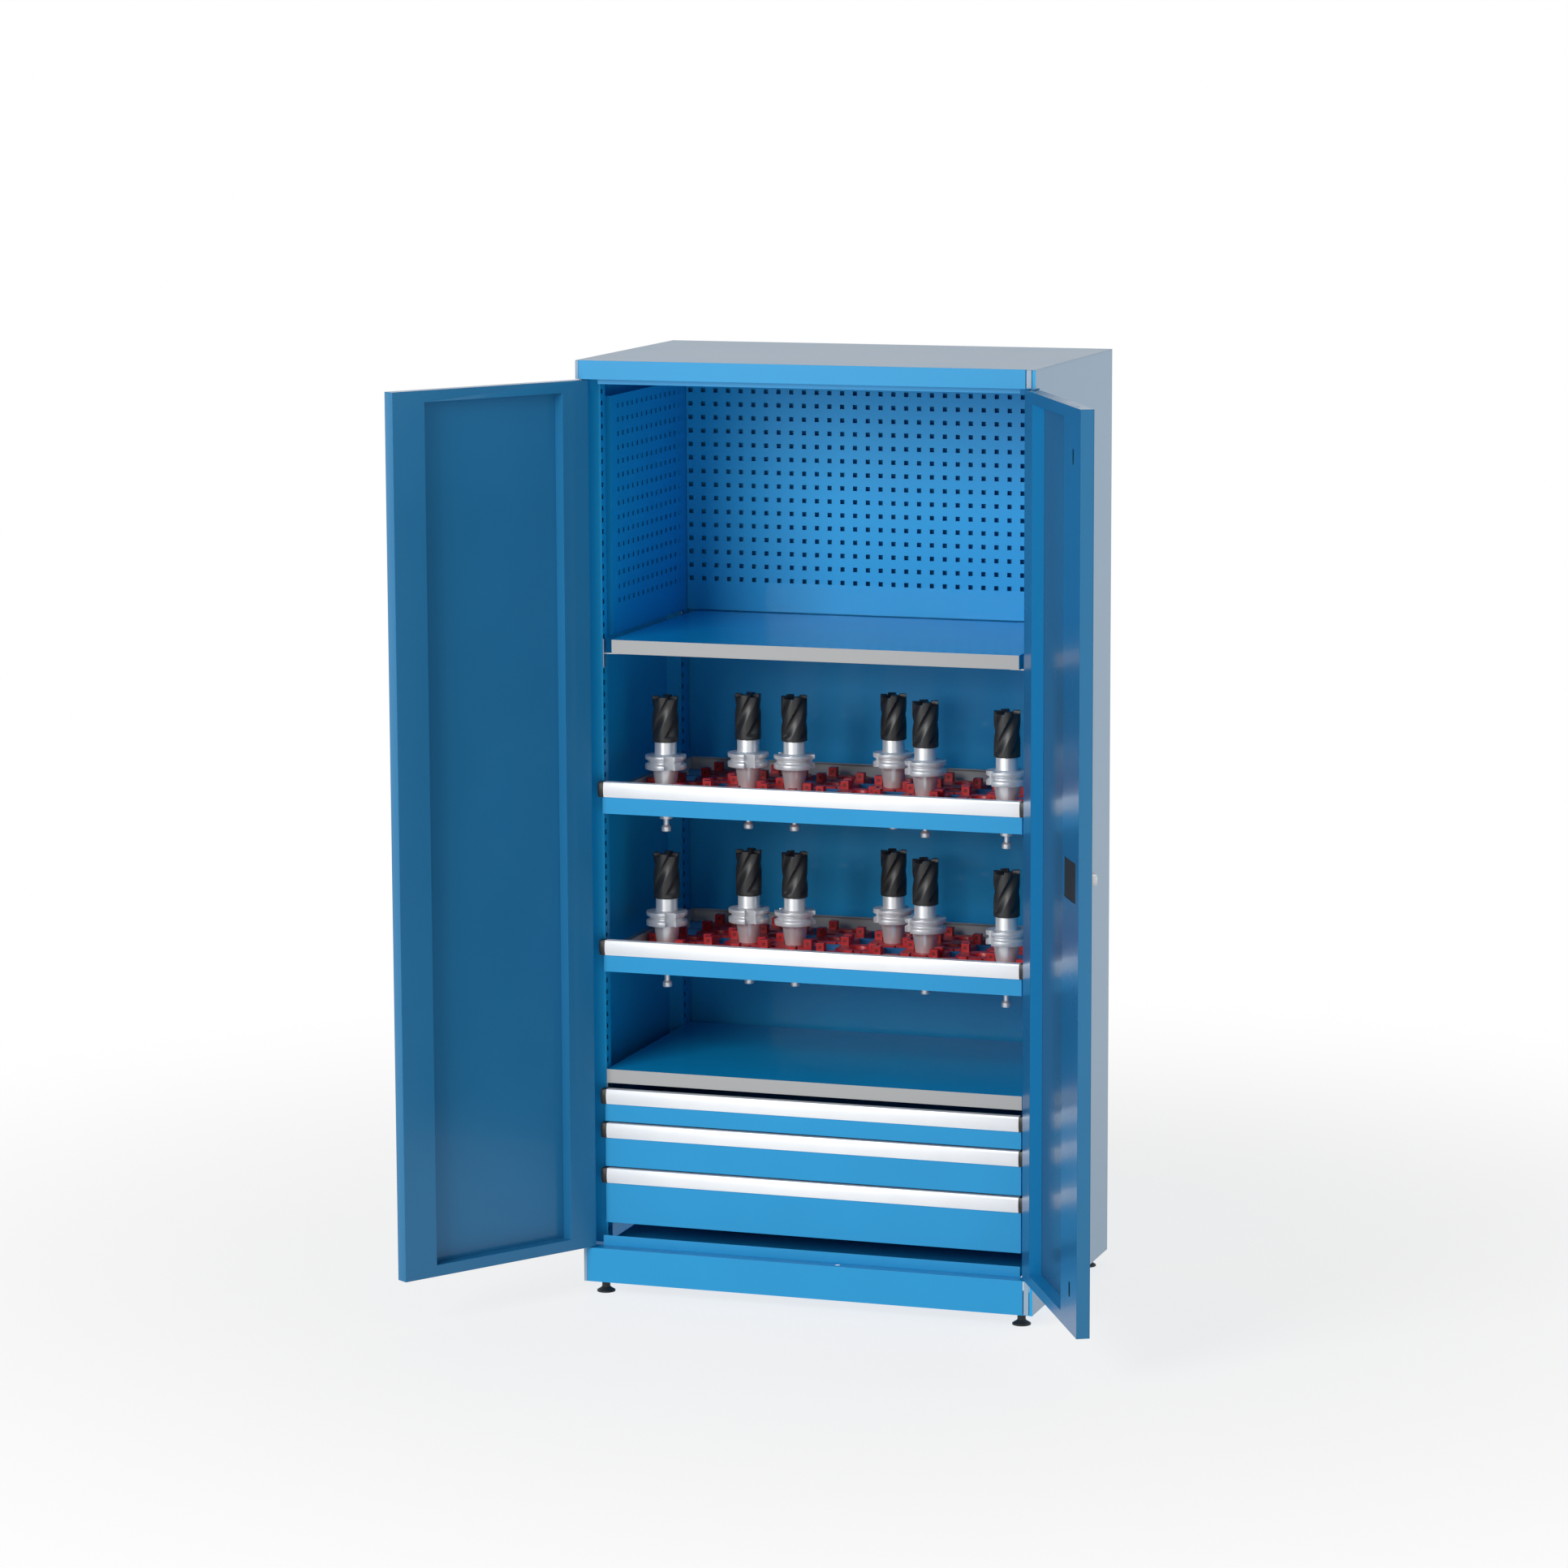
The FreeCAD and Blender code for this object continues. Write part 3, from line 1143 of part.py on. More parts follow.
runner_heights = {}
for level in ("upper", "lower"):
    base = FRAME_BASE[level]
    runner_heights["frame_" + level] = base + FRAME_RUNNER_RISE
    grip_bottom = base + FRAME_FRONT_HEIGHT - GRIP_HEIGHT
    seats = [(tool_x(side, distance), socket_row_y(row), slot_turn, tooth_turn)
             for side, distance, row, slot_turn, tooth_turn in TOOLS]
    export("tool_frame_" + level, [tool_frame(base)])
    export("frame_handle_" + level, [pull_handle(grip_bottom)])
    export("frame_end_caps_" + level, end_caps(grip_bottom))
    export("socket_carriers_" + level, carriers(base))
    export("socket_inserts_" + level, inserts(base))
    export("tool_holders_" + level, [holder(base, x, y, turn) for x, y, turn, _ in seats])
    export("pull_studs_" + level, [pull_stud(base, x, y) for x, y, _, _ in seats])
    export("cutters_" + level, [cutter(base, x, y, turn) for x, y, _, turn in seats])

for size in DRAWER_HEIGHTS:
    base = DRAWER_BASE[size]
    runner_heights["drawer_" + size] = base + RUNNER_RISE
    grip_bottom = base + DRAWER_HEIGHTS[size] - GRIP_HEIGHT
    export("drawer_" + size, [drawer(size)])
    export("drawer_handle_" + size, [pull_handle(grip_bottom)])
    export("drawer_end_caps_" + size, end_caps(grip_bottom))

for load, height in runner_heights.items():
    export("middle_runners_" + load, both_sides(middle_runner(height)))
fixed = []
for height in runner_heights.values():
    fixed += both_sides(outer_runner(height))
export("fixed_runners", fixed)
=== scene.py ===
# %% [markdown]
# # A two-door tool cabinet
# The cabinet's sheet parts, doors, drawers and tool frames come from the packed CAD model, and stay
# where they are. This lesson gives each of them its finish, rounds their edges, and builds the pieces
# whose form needs mesh code, such as the fluted cutters and the turned tool holders.

# %% Load the frame
import json
import math
import bmesh
import bpy
from mathutils import Matrix, Vector


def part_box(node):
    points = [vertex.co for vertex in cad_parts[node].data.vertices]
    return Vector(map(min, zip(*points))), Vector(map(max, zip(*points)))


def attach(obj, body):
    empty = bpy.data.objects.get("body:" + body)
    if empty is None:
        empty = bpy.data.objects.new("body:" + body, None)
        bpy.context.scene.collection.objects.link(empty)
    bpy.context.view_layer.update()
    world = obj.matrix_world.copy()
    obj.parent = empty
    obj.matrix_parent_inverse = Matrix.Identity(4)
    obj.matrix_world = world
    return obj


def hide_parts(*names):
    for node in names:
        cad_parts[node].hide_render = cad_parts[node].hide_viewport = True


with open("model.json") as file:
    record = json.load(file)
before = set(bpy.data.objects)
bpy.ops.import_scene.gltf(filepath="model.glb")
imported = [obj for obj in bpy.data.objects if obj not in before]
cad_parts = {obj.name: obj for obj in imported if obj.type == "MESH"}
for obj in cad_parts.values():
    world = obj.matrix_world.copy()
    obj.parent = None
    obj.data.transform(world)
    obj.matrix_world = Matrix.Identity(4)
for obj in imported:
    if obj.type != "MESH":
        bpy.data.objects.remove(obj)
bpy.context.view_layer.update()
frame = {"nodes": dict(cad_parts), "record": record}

nodes = frame["nodes"]
bodies = frame["record"]["behaviour"]["bodies"]
body_of_node = {node: body for body, members in bodies.items() for node in members}

# %% [markdown]
# A finish is a node tree, and its maths reads best as plain sums. So one small class wraps a socket
# and adds a Math node for each operator. Colours never go through a Math node, which would turn them
# grey: they are mixed.

# %% Sums of sockets
class Value:
    """A node's output that can be used in sums."""

    def __init__(self, graph, socket):
        self.graph = graph
        self.socket = socket

    def _sum(self, operation, first, second):
        return self.graph.node("Math", {"operation": operation}, {0: first, 1: second})

    def __add__(self, other):
        return self._sum("ADD", self, other)

    def __radd__(self, other):
        return self._sum("ADD", other, self)

    def __sub__(self, other):
        return self._sum("SUBTRACT", self, other)

    def __rsub__(self, other):
        return self._sum("SUBTRACT", other, self)

    def __mul__(self, other):
        return self._sum("MULTIPLY", self, other)

    def __rmul__(self, other):
        return self._sum("MULTIPLY", other, self)

    def larger(self, other):
        """The larger of two values."""
        return self._sum("MAXIMUM", self, other)

    def above(self, edge, soft):
        """0 below edge and 1 above it, over a soft step."""
        return self.graph.node("MapRange", {"interpolation_type": "SMOOTHSTEP"}, {
            "Value": self, "From Min": edge - soft, "From Max": edge + soft})


print("sums of sockets: add, subtract, multiply, larger, above")

# %% [markdown]
# Every other node is made by one method, which sets its options before its inputs, because an option
# can change which inputs a node has. The paint, the sky and the floor all use it.

# %% Nodes
class Nodes:
    """A node tree that grows by one method."""

    def __init__(self, tree):
        self.tree = tree

    def node(self, kind, settings, inputs, output=0):
        """Adds a node: its settings first, then the values or links of its sockets."""
        made = self.tree.nodes.new("ShaderNode" + kind)
        for name, value in settings.items():
            setattr(made, name, value)
        for name, value in inputs.items():
            self.feed(made.inputs[name], value)
        return Value(self, made.outputs[output])

    def feed(self, socket, value):
        """Gives a socket a constant or a link."""
        if isinstance(value, Value):
            self.tree.links.new(value.socket, socket)
        else:
            socket.default_value = value


print("one method adds every node of a tree")

# %% [markdown]
# Colours are written as they look on a screen, in eight-bit steps, and turned into the linear numbers
# that the shader counts in.

# %% Colours
def screen(red, green, blue):
    """A colour as a screen shows it, in linear numbers with an alpha of 1."""
    def linear(step):
        share = step / 255
        return share / 12.92 if share <= 0.04045 else ((share + 0.055) / 1.055) ** 2.4
    return (linear(red), linear(green), linear(blue), 1.0)


def shade(colour, share):
    """The same colour, darker or lighter by a share."""
    return tuple(min(1.0, c * share) for c in colour[:3]) + (1.0,)


BODY_BLUE = screen(30, 148, 204)
# The door blue is the body blue darkened as painted shade, for the doors' inner faces that the light
# only grazes.
DOOR_BLUE_PAINTED_SHADE = screen(36, 114, 160)
# The inner blue is the body blue lightened as painted light, to make up for the shade inside the
# cabinet.
INNER_BLUE_PAINTED_LIGHTER = screen(14, 162, 222)
CARRIER_BLUE = screen(26, 96, 150)
SIDE_GREY = screen(140, 167, 191)
LIP_GREY = screen(170, 171, 171)
TRIM_GREY = screen(150, 172, 190)
ZINC_GREY = screen(196, 198, 200)
GRIP_WHITE = screen(244, 246, 248)
PLASTIC_BLACK = screen(26, 27, 29)
INSERT_RED = screen(186, 30, 36)
STEEL_GREY = screen(228, 230, 232)
COATED_BLACK = screen(38, 38, 38)
print("body blue in linear numbers", [round(c, 3) for c in BODY_BLUE])

# %% [markdown]
# One class holds a material. Besides its shader it offers what every finish here needs: a cloudy noise,
# a colour that wanders between two shades, a gloss that spreads round its value, and a fine relief.

# %% The finish builder
class Finish(Nodes):
    """One material: a Principled shader and the nodes that feed it."""

    def __init__(self, name, colour, roughness, metallic=0.0, coat=0.0, specular=0.5):
        self.material = bpy.data.materials.new(name)
        self.material.use_nodes = True
        super().__init__(self.material.node_tree)
        self.shader = self.tree.nodes["Principled BSDF"]
        self.set("Base Color", colour)
        self.set("Roughness", roughness)
        self.set("Metallic", metallic)
        self.set("Coat Weight", coat)
        self.set("Specular IOR Level", specular)
        self.place = self.node("TexCoord", {}, {}, "Object")

    def set(self, name, value):
        """Gives the shader's own socket a value or a link."""
        self.feed(self.shader.inputs[name], value)

    def noise(self, scale, detail, stretch=(1.0, 1.0, 1.0)):
        """Cloudy noise between 0 and 1; stretch squeezes it along an axis."""
        place = self.node("Mapping", {}, {"Vector": self.place, "Scale": stretch})
        return self.node("TexNoise", {}, {"Vector": place, "Scale": scale, "Detail": detail})

    def mix(self, share, first, second):
        """One colour turning into another."""
        settings = {"data_type": "RGBA"}
        return self.node("Mix", settings, {"Factor": share, 6: first, 7: second}, 2)

    def clouded(self, colour, clouds, shades):
        """A colour that wanders between two shades of itself."""
        return self.mix(clouds, shade(colour, shades[0]), shade(colour, shades[1]))

    def spread_gloss(self, roughness, noise, spread):
        """Feeds the roughness with a noise round a middle value."""
        self.set("Roughness", roughness - spread / 2 + noise * spread)

    def bump(self, height, distance):
        """Feeds the shader's normal from a height."""
        self.set("Normal", self.node("Bump", {}, {"Height": height, "Distance": distance}))

    def axis(self, name):
        """One coordinate of the place, in metres."""
        return self.node("SeparateXYZ", {}, {"Vector": self.place}, name)


print("a finish has", [name for name in vars(Finish) if not name.startswith("_")])

# %% [markdown]
# Powder coat is sprayed as dust and baked: it flows into a thin skin with a faint orange-peel swell,
# an even gloss and small clouds where the dust lay thicker. A fine noise gives the swell and a wide
# one the clouds.

# %% Powder coat
PEEL_SCALE = 420.0
PEEL_HEIGHT = 0.00006
CLOUD_SCALE = 5.0
CLOUD_SHADES = (0.94, 1.06)
PAINT_SPREAD = 0.1
PAINT_COAT = 0.08
PAINT_SPECULAR = 0.3


def powder_coat(name, colour, roughness=0.34, second=None, where=None):
    """Baked paint; second is another colour that shows where the mask is 1."""
    finish = Finish(name, colour, roughness, coat=PAINT_COAT, specular=PAINT_SPECULAR)
    clouds = finish.noise(CLOUD_SCALE, 4.0)
    peel = finish.noise(PEEL_SCALE, 2.0)
    base = finish.clouded(colour, clouds, CLOUD_SHADES)
    if second is not None:
        base = finish.mix(where(finish), base, second)
    finish.set("Base Color", base)
    finish.spread_gloss(roughness, clouds, PAINT_SPREAD)
    finish.bump(peel, PEEL_HEIGHT)
    return finish.material


body_paint = powder_coat("body_paint", BODY_BLUE)
# The doors' paint is the body paint darkened as painted shade.
door_paint_shaded = powder_coat("door_paint_shaded", DOOR_BLUE_PAINTED_SHADE, 0.22)
# The inside's paint is the body paint lightened as painted light.
inner_paint_lightened = powder_coat("inner_paint_lightened", INNER_BLUE_PAINTED_LIGHTER, 0.45)
carrier_paint = powder_coat("carrier_paint", CARRIER_BLUE, 0.45)
trim_paint = powder_coat("trim_paint", TRIM_GREY, 0.4)
print("powder coat has", len(body_paint.node_tree.nodes), "nodes")

# %% [markdown]
# The outside of the cabinet is grey and its inside blue, so each side panel needs both colours. The mask
# is 1 on the inner face of a side panel, and on the narrow front return of the right one.

# %% Two-coloured side panels
FACE_LAYER = 0.0008
RETURN_LAYER = 0.0017
PAINT_SOFT = 0.0002
side_low, side_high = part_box("side_panel_right")
inner_edge_x = side_high.x - FACE_LAYER
return_y = side_low.y + RETURN_LAYER


def inside_or_right_return(finish):
    """1 on the inner faces of both side panels and on the front return of the right one."""
    across = finish.axis("X")
    behind = finish.axis("Y").above(return_y, PAINT_SOFT)
    inner = (1 - (across * across).above(inner_edge_x ** 2, PAINT_SOFT)) * behind
    right_half = across.above(0.0, 0.1)
    return inner + right_half * (1 - behind)


# The inner faces take the inner blue, which is lightened as painted light.
side_paint = powder_coat("side_paint", SIDE_GREY, 0.4, INNER_BLUE_PAINTED_LIGHTER, inside_or_right_return)
top_paint = powder_coat("top_paint", SIDE_GREY, 0.4)
print("side paint turns blue inside", round(inner_edge_x, 4), "m from the middle")

# %% [markdown]
# A shelf is one folded sheet: its top is glossy blue, and its front lip is light grey. A tool frame has
# a blue front and light grey rails. Both masks read the depth of the surface, so the change of colour
# stays on the fold.

# %% Shelf and frame paint
LIP_LAYER = 0.0012
LIP_SOFT = 0.0004
FRONT_LAYER = 0.03
FRONT_SOFT = 0.001
lip_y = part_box("upper_shelf")[0].y + LIP_LAYER
front_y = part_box("tool_frame_upper")[0].y + FRONT_LAYER


def on_lip(finish):
    """1 on the front lip of a shelf."""
    return 1 - finish.axis("Y").above(lip_y, LIP_SOFT)


def behind_front(finish):
    """1 on the sides and the rear rail of a tool frame."""
    return finish.axis("Y").above(front_y, FRONT_SOFT)


# A shelf's top takes the inner blue, which is lightened as painted light.
shelf_paint = powder_coat("shelf_paint", INNER_BLUE_PAINTED_LIGHTER, 0.16, LIP_GREY, on_lip)
frame_paint = powder_coat("frame_paint", BODY_BLUE, 0.34, LIP_GREY, behind_front)
print("grey lip in front of y", round(lip_y, 4), "and grey rails behind y", round(front_y, 4))

# %% [markdown]
# The inner side of the right door carries painted light. The walls of its frame that step down to the
# skin are painted lighter than its flat face as a painted highlight, and the inner face of its skin is
# painted darker as a painted reflection. A face is told by its depth along the open door's inner
# direction.

# %% Right door paint
RIGHT_DOOR_OPEN = math.radians(118.5)
# The wall blue is lighter than the face blue as a painted highlight; the recess blue is darker as a
# painted reflection.
FACE_BLUE = screen(34, 96, 142)
WALL_BLUE_PAINTED_HIGHLIGHT = screen(24, 134, 192)
RECESS_BLUE_PAINTED_REFLECTION = screen(42, 88, 126)
SKIN_NEAR = 0.0008
SKIN_FAR = 0.0014
SKIN_SOFT = 0.0001
door_inward = Vector((-math.sin(RIGHT_DOOR_OPEN), math.cos(RIGHT_DOOR_OPEN), 0))


def depths(node):
    """How deep each corner of a node lies along the open right door's inner direction."""
    return [vertex.co.dot(door_inward) for vertex in nodes[node].data.vertices]


face_depth = max(depths("right_door_frame"))
skin_depth = min(depths("right_door_skin"))


def door_depth(finish):
    """The same depth as a value of the finish."""
    return finish.axis("X") * door_inward.x + finish.axis("Y") * door_inward.y


def painted_highlight_on_step_walls(finish):
    """1 on the walls of the right door's frame, where the painted highlight goes, 0 on its face."""
    return 1 - door_depth(finish).above(face_depth - FACE_LAYER, PAINT_SOFT)


def painted_reflection_on_recess(finish):
    """1 on the inner face of the right door's skin, where the painted dark reflection goes."""
    depth = door_depth(finish)
    past_near = depth.above(skin_depth + SKIN_NEAR, SKIN_SOFT)
    return past_near * (1 - depth.above(skin_depth + SKIN_FAR, SKIN_SOFT))


# The frame's walls get the painted highlight and the skin's inner face the painted reflection.
right_frame_painted_highlight = powder_coat("right_frame_painted_highlight", FACE_BLUE, 0.26, WALL_BLUE_PAINTED_HIGHLIGHT, painted_highlight_on_step_walls)
right_skin_painted_reflection = powder_coat("right_skin_painted_reflection", DOOR_BLUE_PAINTED_SHADE, 0.26, RECESS_BLUE_PAINTED_REFLECTION, painted_reflection_on_recess)
print("right door", round(face_depth - skin_depth, 4), "m deep")

# %% [markdown]
# Metals: zinc plate has a fine spangle, the extruded handles have lines along their length, and the
# holders are turned, so their lines run round them. A noise squeezed along one axis makes each grain.

# %% Metals
GRAIN_SCALE = 900.0
GRAIN_HEIGHT = 0.00002
GRAIN_SPREAD = 0.1
METAL_CLOUDS = 14.0
METAL_SHADES = (0.93, 1.05)


def grained_metal(name, colour, roughness, stretch, metallic=1.0):
    """Metal with a grain: stretch is small along the grain."""
    finish = Finish(name, colour, roughness, metallic)
    lines = finish.noise(GRAIN_SCALE, 2.0, stretch)
    clouds = finish.noise(METAL_CLOUDS, 3.0)
    finish.set("Base Color", finish.clouded(colour, clouds, METAL_SHADES))
    finish.spread_gloss(roughness, lines, GRAIN_SPREAD)
    finish.bump(lines, GRAIN_HEIGHT)
    return finish.material


zinc = grained_metal("zinc", ZINC_GREY, 0.34, (1.0, 0.1, 1.0))
anodised = grained_metal("anodised", GRIP_WHITE, 0.42, (0.02, 1.0, 1.0), 0.25)
ground_steel = grained_metal("ground_steel", STEEL_GREY, 0.32, (0.15, 0.15, 1.0), 0.5)
lock_steel = grained_metal("lock_steel", ZINC_GREY, 0.35, (0.2, 1.0, 1.0))
print("metals", zinc.name, anodised.name, ground_steel.name, lock_steel.name)

# %% [markdown]
# Plastics are moulded against an etched steel tool, so they carry a fine even texture, and the colour
# varies a little from place to place. The coated steel of the cutters is close enough to share it.

# %% Plastics
TEXTURE_HEIGHT = 0.00005
TEXTURE_SPREAD = 0.12
BLOTCH_SCALE = 22.0
BLOTCH_SHADES = (0.86, 1.12)


def moulding(name, colour, roughness, texture_scale=1500.0):
    """Moulded plastic with a fine texture."""
    finish = Finish(name, colour, roughness)
    fine = finish.noise(texture_scale, 2.0)
    wide = finish.noise(BLOTCH_SCALE, 2.0)
    finish.set("Base Color", finish.clouded(colour, wide, BLOTCH_SHADES))
    finish.spread_gloss(roughness, fine, TEXTURE_SPREAD)
    finish.bump(fine, TEXTURE_HEIGHT)
    return finish.material


black_plastic = moulding("black_plastic", PLASTIC_BLACK, 0.45)
red_plastic = moulding("red_plastic", INSERT_RED, 0.36)
foot_rubber = moulding("foot_rubber", PLASTIC_BLACK, 0.6, 700.0)
coated_steel = moulding("coated_steel", COATED_BLACK, 0.38, 2600.0)
print("finishes so far", len(bpy.data.materials))

# %% [markdown]
# Each CAD node keeps its shape and gets a finish in its own slots. The single nodes come first, then
# those that each tool frame and each drawer repeats.

# %% Finishes of the CAD nodes
LEVELS = ("upper", "lower")
DRAWERS = ("75", "100", "125")
finish_of = {
    "side_panel_left": side_paint,
    "side_panel_right": side_paint,
    "top_panel": top_paint,
    "back_panel": inner_paint_lightened,
    "top_fascia": body_paint,
    "corner_trims": trim_paint,
    "floor_panel": body_paint,
    "plinth": body_paint,
    "perforated_back_panel": inner_paint_lightened,
    "perforated_side_panels": inner_paint_lightened,
    "front_uprights": inner_paint_lightened,
    "rear_uprights": inner_paint_lightened,
    "upper_shelf": shelf_paint,
    "lower_shelf": shelf_paint,
    "shelf_clips": zinc,
    "foot_pads": foot_rubber,
    "foot_screws": zinc,
    "hinge_pins": zinc,
    "fixed_runners": zinc,
    "left_door_skin": door_paint_shaded,
    "left_door_frame": door_paint_shaded,
    "right_door_skin": right_skin_painted_reflection,
    "right_door_frame": right_frame_painted_highlight,
    "lock_case": black_plastic,
    "lock_escutcheon": lock_steel,
    "lock_handle": lock_steel,
    "lock_rod_upper": zinc,
    "lock_rod_lower": zinc,
    "rod_guides": black_plastic,
}
for level in LEVELS:
    finish_of["tool_frame_" + level] = frame_paint
    finish_of["frame_handle_" + level] = anodised
    finish_of["frame_end_caps_" + level] = black_plastic
    finish_of["socket_carriers_" + level] = carrier_paint
    finish_of["socket_inserts_" + level] = red_plastic
    finish_of["tool_holders_" + level] = ground_steel
    finish_of["pull_studs_" + level] = ground_steel
    finish_of["cutters_" + level] = coated_steel
    finish_of["middle_runners_frame_" + level] = zinc
for size in DRAWERS:
    finish_of["drawer_" + size] = body_paint
    finish_of["drawer_handle_" + size] = anodised
    finish_of["drawer_end_caps_" + size] = black_plastic
    finish_of["middle_runners_drawer_" + size] = zinc

for name, finish in finish_of.items():
    mesh = nodes[name].data
    if not mesh.materials:
        mesh.materials.append(finish)
    for index in range(len(mesh.materials)):
        mesh.materials[index] = finish
print("finished", len(finish_of), "of", len(nodes), "nodes")

# %% [markdown]
# No folded or moulded edge is perfectly sharp. A Weld modifier closes the seams of the imported mesh
# and a narrow Bevel rounds the edges, so that they catch the light. Neither changes the mesh itself.
# The sheets with hundreds of holes stay as they are, because a round there would be too fine to see.

# %% Rounded edges
EDGE_ROUNDS = {
    "foot_pads": 0.0008,
    "lock_handle": 0.0025,
    "lock_escutcheon": 0.0006,
    "lock_case": 0.0010,
}
FINE_ROUND = 0.0004
ROUND_ANGLE = math.radians(35)
WELD_REACH = 0.00002
PLAIN_NODES = ("perforated_back_panel", "perforated_side_panels", "front_uprights", "rear_uprights")


def round_edges(piece, width):
    """Closes the seams of a mesh and rounds its sharp edges."""
    weld = piece.modifiers.new("weld", "WELD")
    weld.merge_threshold = WELD_REACH
    bevel = piece.modifiers.new("round", "BEVEL")
    bevel.width = width
    bevel.segments = 2
    bevel.limit_method = "ANGLE"
    bevel.angle_limit = ROUND_ANGLE
    bevel.harden_normals = True


for name in finish_of:
    if name not in PLAIN_NODES:
        round_edges(nodes[name], EDGE_ROUNDS.get(name, FINE_ROUND))
print("rounded", len(finish_of) - len(PLAIN_NODES), "nodes")

# %% [markdown]
# The holders, studs and cutters are turned parts, so each is a stack of rings round its axis, joined by
# quads and closed at both ends. Sharp corners stay sharp and the rest is shaded smooth.

# %% Meshes from rings
def mesh_from_rings(name, rings, sharp_angle=32.0):
    """A closed mesh through rings of equal point counts, capped at both ends."""
    mesh = bpy.data.meshes.new(name)
    build = bmesh.new()
    loops = [[build.verts.new(point) for point in ring] for ring in rings]
    count = len(rings[0])
    for lower, upper in zip(loops, loops[1:]):
        for i in range(count):
            j = (i + 1) % count
            build.faces.new((lower[i], lower[j], upper[j], upper[i]))
    build.faces.new(tuple(reversed(loops[0])))
    build.faces.new(tuple(loops[-1]))
    bmesh.ops.recalc_face_normals(build, faces=build.faces)
    for face in build.faces:
        face.smooth = True
    build.to_mesh(mesh)
    build.free()
    mesh.set_sharp_from_angle(angle=math.radians(sharp_angle))
    return mesh


def circle(radius, height, points):
    """One ring of a turned part."""
    angles = [2 * math.pi * i / points for i in range(points)]
    return [(radius * math.cos(a), radius * math.sin(a), height) for a in angles]


def rounded_profile(profile, size):
    """The same (radius, height) corners, each cut into three short steps of a round."""
    rounded = [profile[0]]
    for before, corner, after in zip(profile, profile[1:], profile[2:]):
        here = Vector(corner)
        back = Vector(before) - here
        ahead = Vector(after) - here
        reach = min(size, back.length / 3, ahead.length / 3)
        start = here + back.normalized() * reach
        end = here + ahead.normalized() * reach
        middle = (start + end + here * 2) / 4
        rounded += [tuple(start), tuple(middle), tuple(end)]
    return rounded + [profile[-1]]


print("a ring of 64 points and radius 0.01 starts at", circle(0.01, 0.0, 64)[0])

# %% [markdown]
# The cutters are black-coated end mills. Their flutes are helical gullets, so each level of the mesh
# is the same wavy outline turned a little further. The foot of a cutter is plain, and the flutes run
# out into it over a few levels. The top is notched into teeth round a hollow centre.

# %% Fluted cutters
FLUTES = 4
FLUTE_PITCH = 2 * math.pi / FLUTES
FLUTE_DEPTH = 0.0046
GULLET_LEAN = 0.6
LAND_SHARE = 0.46
HELIX_TURN = 2.0
RING_POINTS = 128
RING_LEVELS = 44
FADE_LEVELS = 4
EDGE_CUT = 0.0008
PLAIN_FOOT = 0.0060
CROWN_DROP = 0.0060
CROWN_EDGE = 0.0006
CROWN_INSETS = (EDGE_CUT, 0.0040, 0.0085, 0.0130)
HOLLOW_STEPS = ((0.0095, 0.0), (0.0080, 0.0015), (0.0070, 0.006))


def gullet(angle, turn):
    """0 on a land and up to 1 in the middle of a gullet, which is steep on its cutting side."""
    phase = ((angle - turn) / FLUTE_PITCH + LAND_SHARE / 2) % 1.0
    if phase < LAND_SHARE:
        return 0.0
    share = (phase - LAND_SHARE) / (1 - LAND_SHARE)
    return math.sin(math.pi * share ** GULLET_LEAN)


def fluted(radius, height, turn, drop=0.0):
    """One ring with gullets; a drop lowers the gullets under the lands."""
    ring = []
    for i in range(RING_POINTS):
        angle = 2 * math.pi * i / RING_POINTS
        depth = gullet(angle, turn)
        reach = radius - FLUTE_DEPTH * depth
        fall = drop if depth > 0.0 else 0.0
        ring.append((reach * math.cos(angle), reach * math.sin(angle), height - fall))
    return ring


def between(first, second, share):
    """A ring part of the way from one ring to another."""
    return [tuple(p + (q - p) * share for p, q in zip(a, b)) for a, b in zip(first, second)]


def cutter_rings(radius, low, high, tooth_turn):
    """Rings of one cutter from its foot to its notched top and its hollow centre."""
    start = low + PLAIN_FOOT
    rise = high - CROWN_DROP - low - PLAIN_FOOT
    rings = [
        circle(radius - 0.0030, low, RING_POINTS),
        circle(radius - EDGE_CUT, low, RING_POINTS),
        circle(radius, low + EDGE_CUT, RING_POINTS),
        circle(radius, start, RING_POINTS),
    ]
    for level in range(1, RING_LEVELS + 1):
        height = start + rise * level / RING_LEVELS
        turn = tooth_turn - HELIX_TURN * (high - height) / (high - low)
        plain = circle(radius, height, RING_POINTS)
        rings.append(between(plain, fluted(radius, height, turn), min(1.0, level / FADE_LEVELS)))
    rings.append(fluted(radius, high - CROWN_EDGE, tooth_turn, CROWN_DROP - CROWN_EDGE))
    rings += [fluted(radius - inset, high, tooth_turn, CROWN_DROP) for inset in CROWN_INSETS]
    rings += [circle(core, high - (CROWN_DROP + drop), RING_POINTS) for core, drop in HOLLOW_STEPS]
    return rings


print("a cutter has", len(cutter_rings(0.02, 0.0, 0.08, 0.0)), "rings")

# %% [markdown]
# A holder's flange has two opposite drive slots with flat floors and parallel walls. So the outline of
# a flange ring is two arcs joined by two straight cuts, and a smaller ring is a plain circle that keeps
# the same number of points.

# %% Slotted flange rings
FLANGE_RADIUS = 0.0450
SLOT_FLOOR = 0.034
SLOT_HALF = 0.012
FLOOR_POINTS = 9
ARC_POINTS = 47
ARC_NUDGE = 0.2


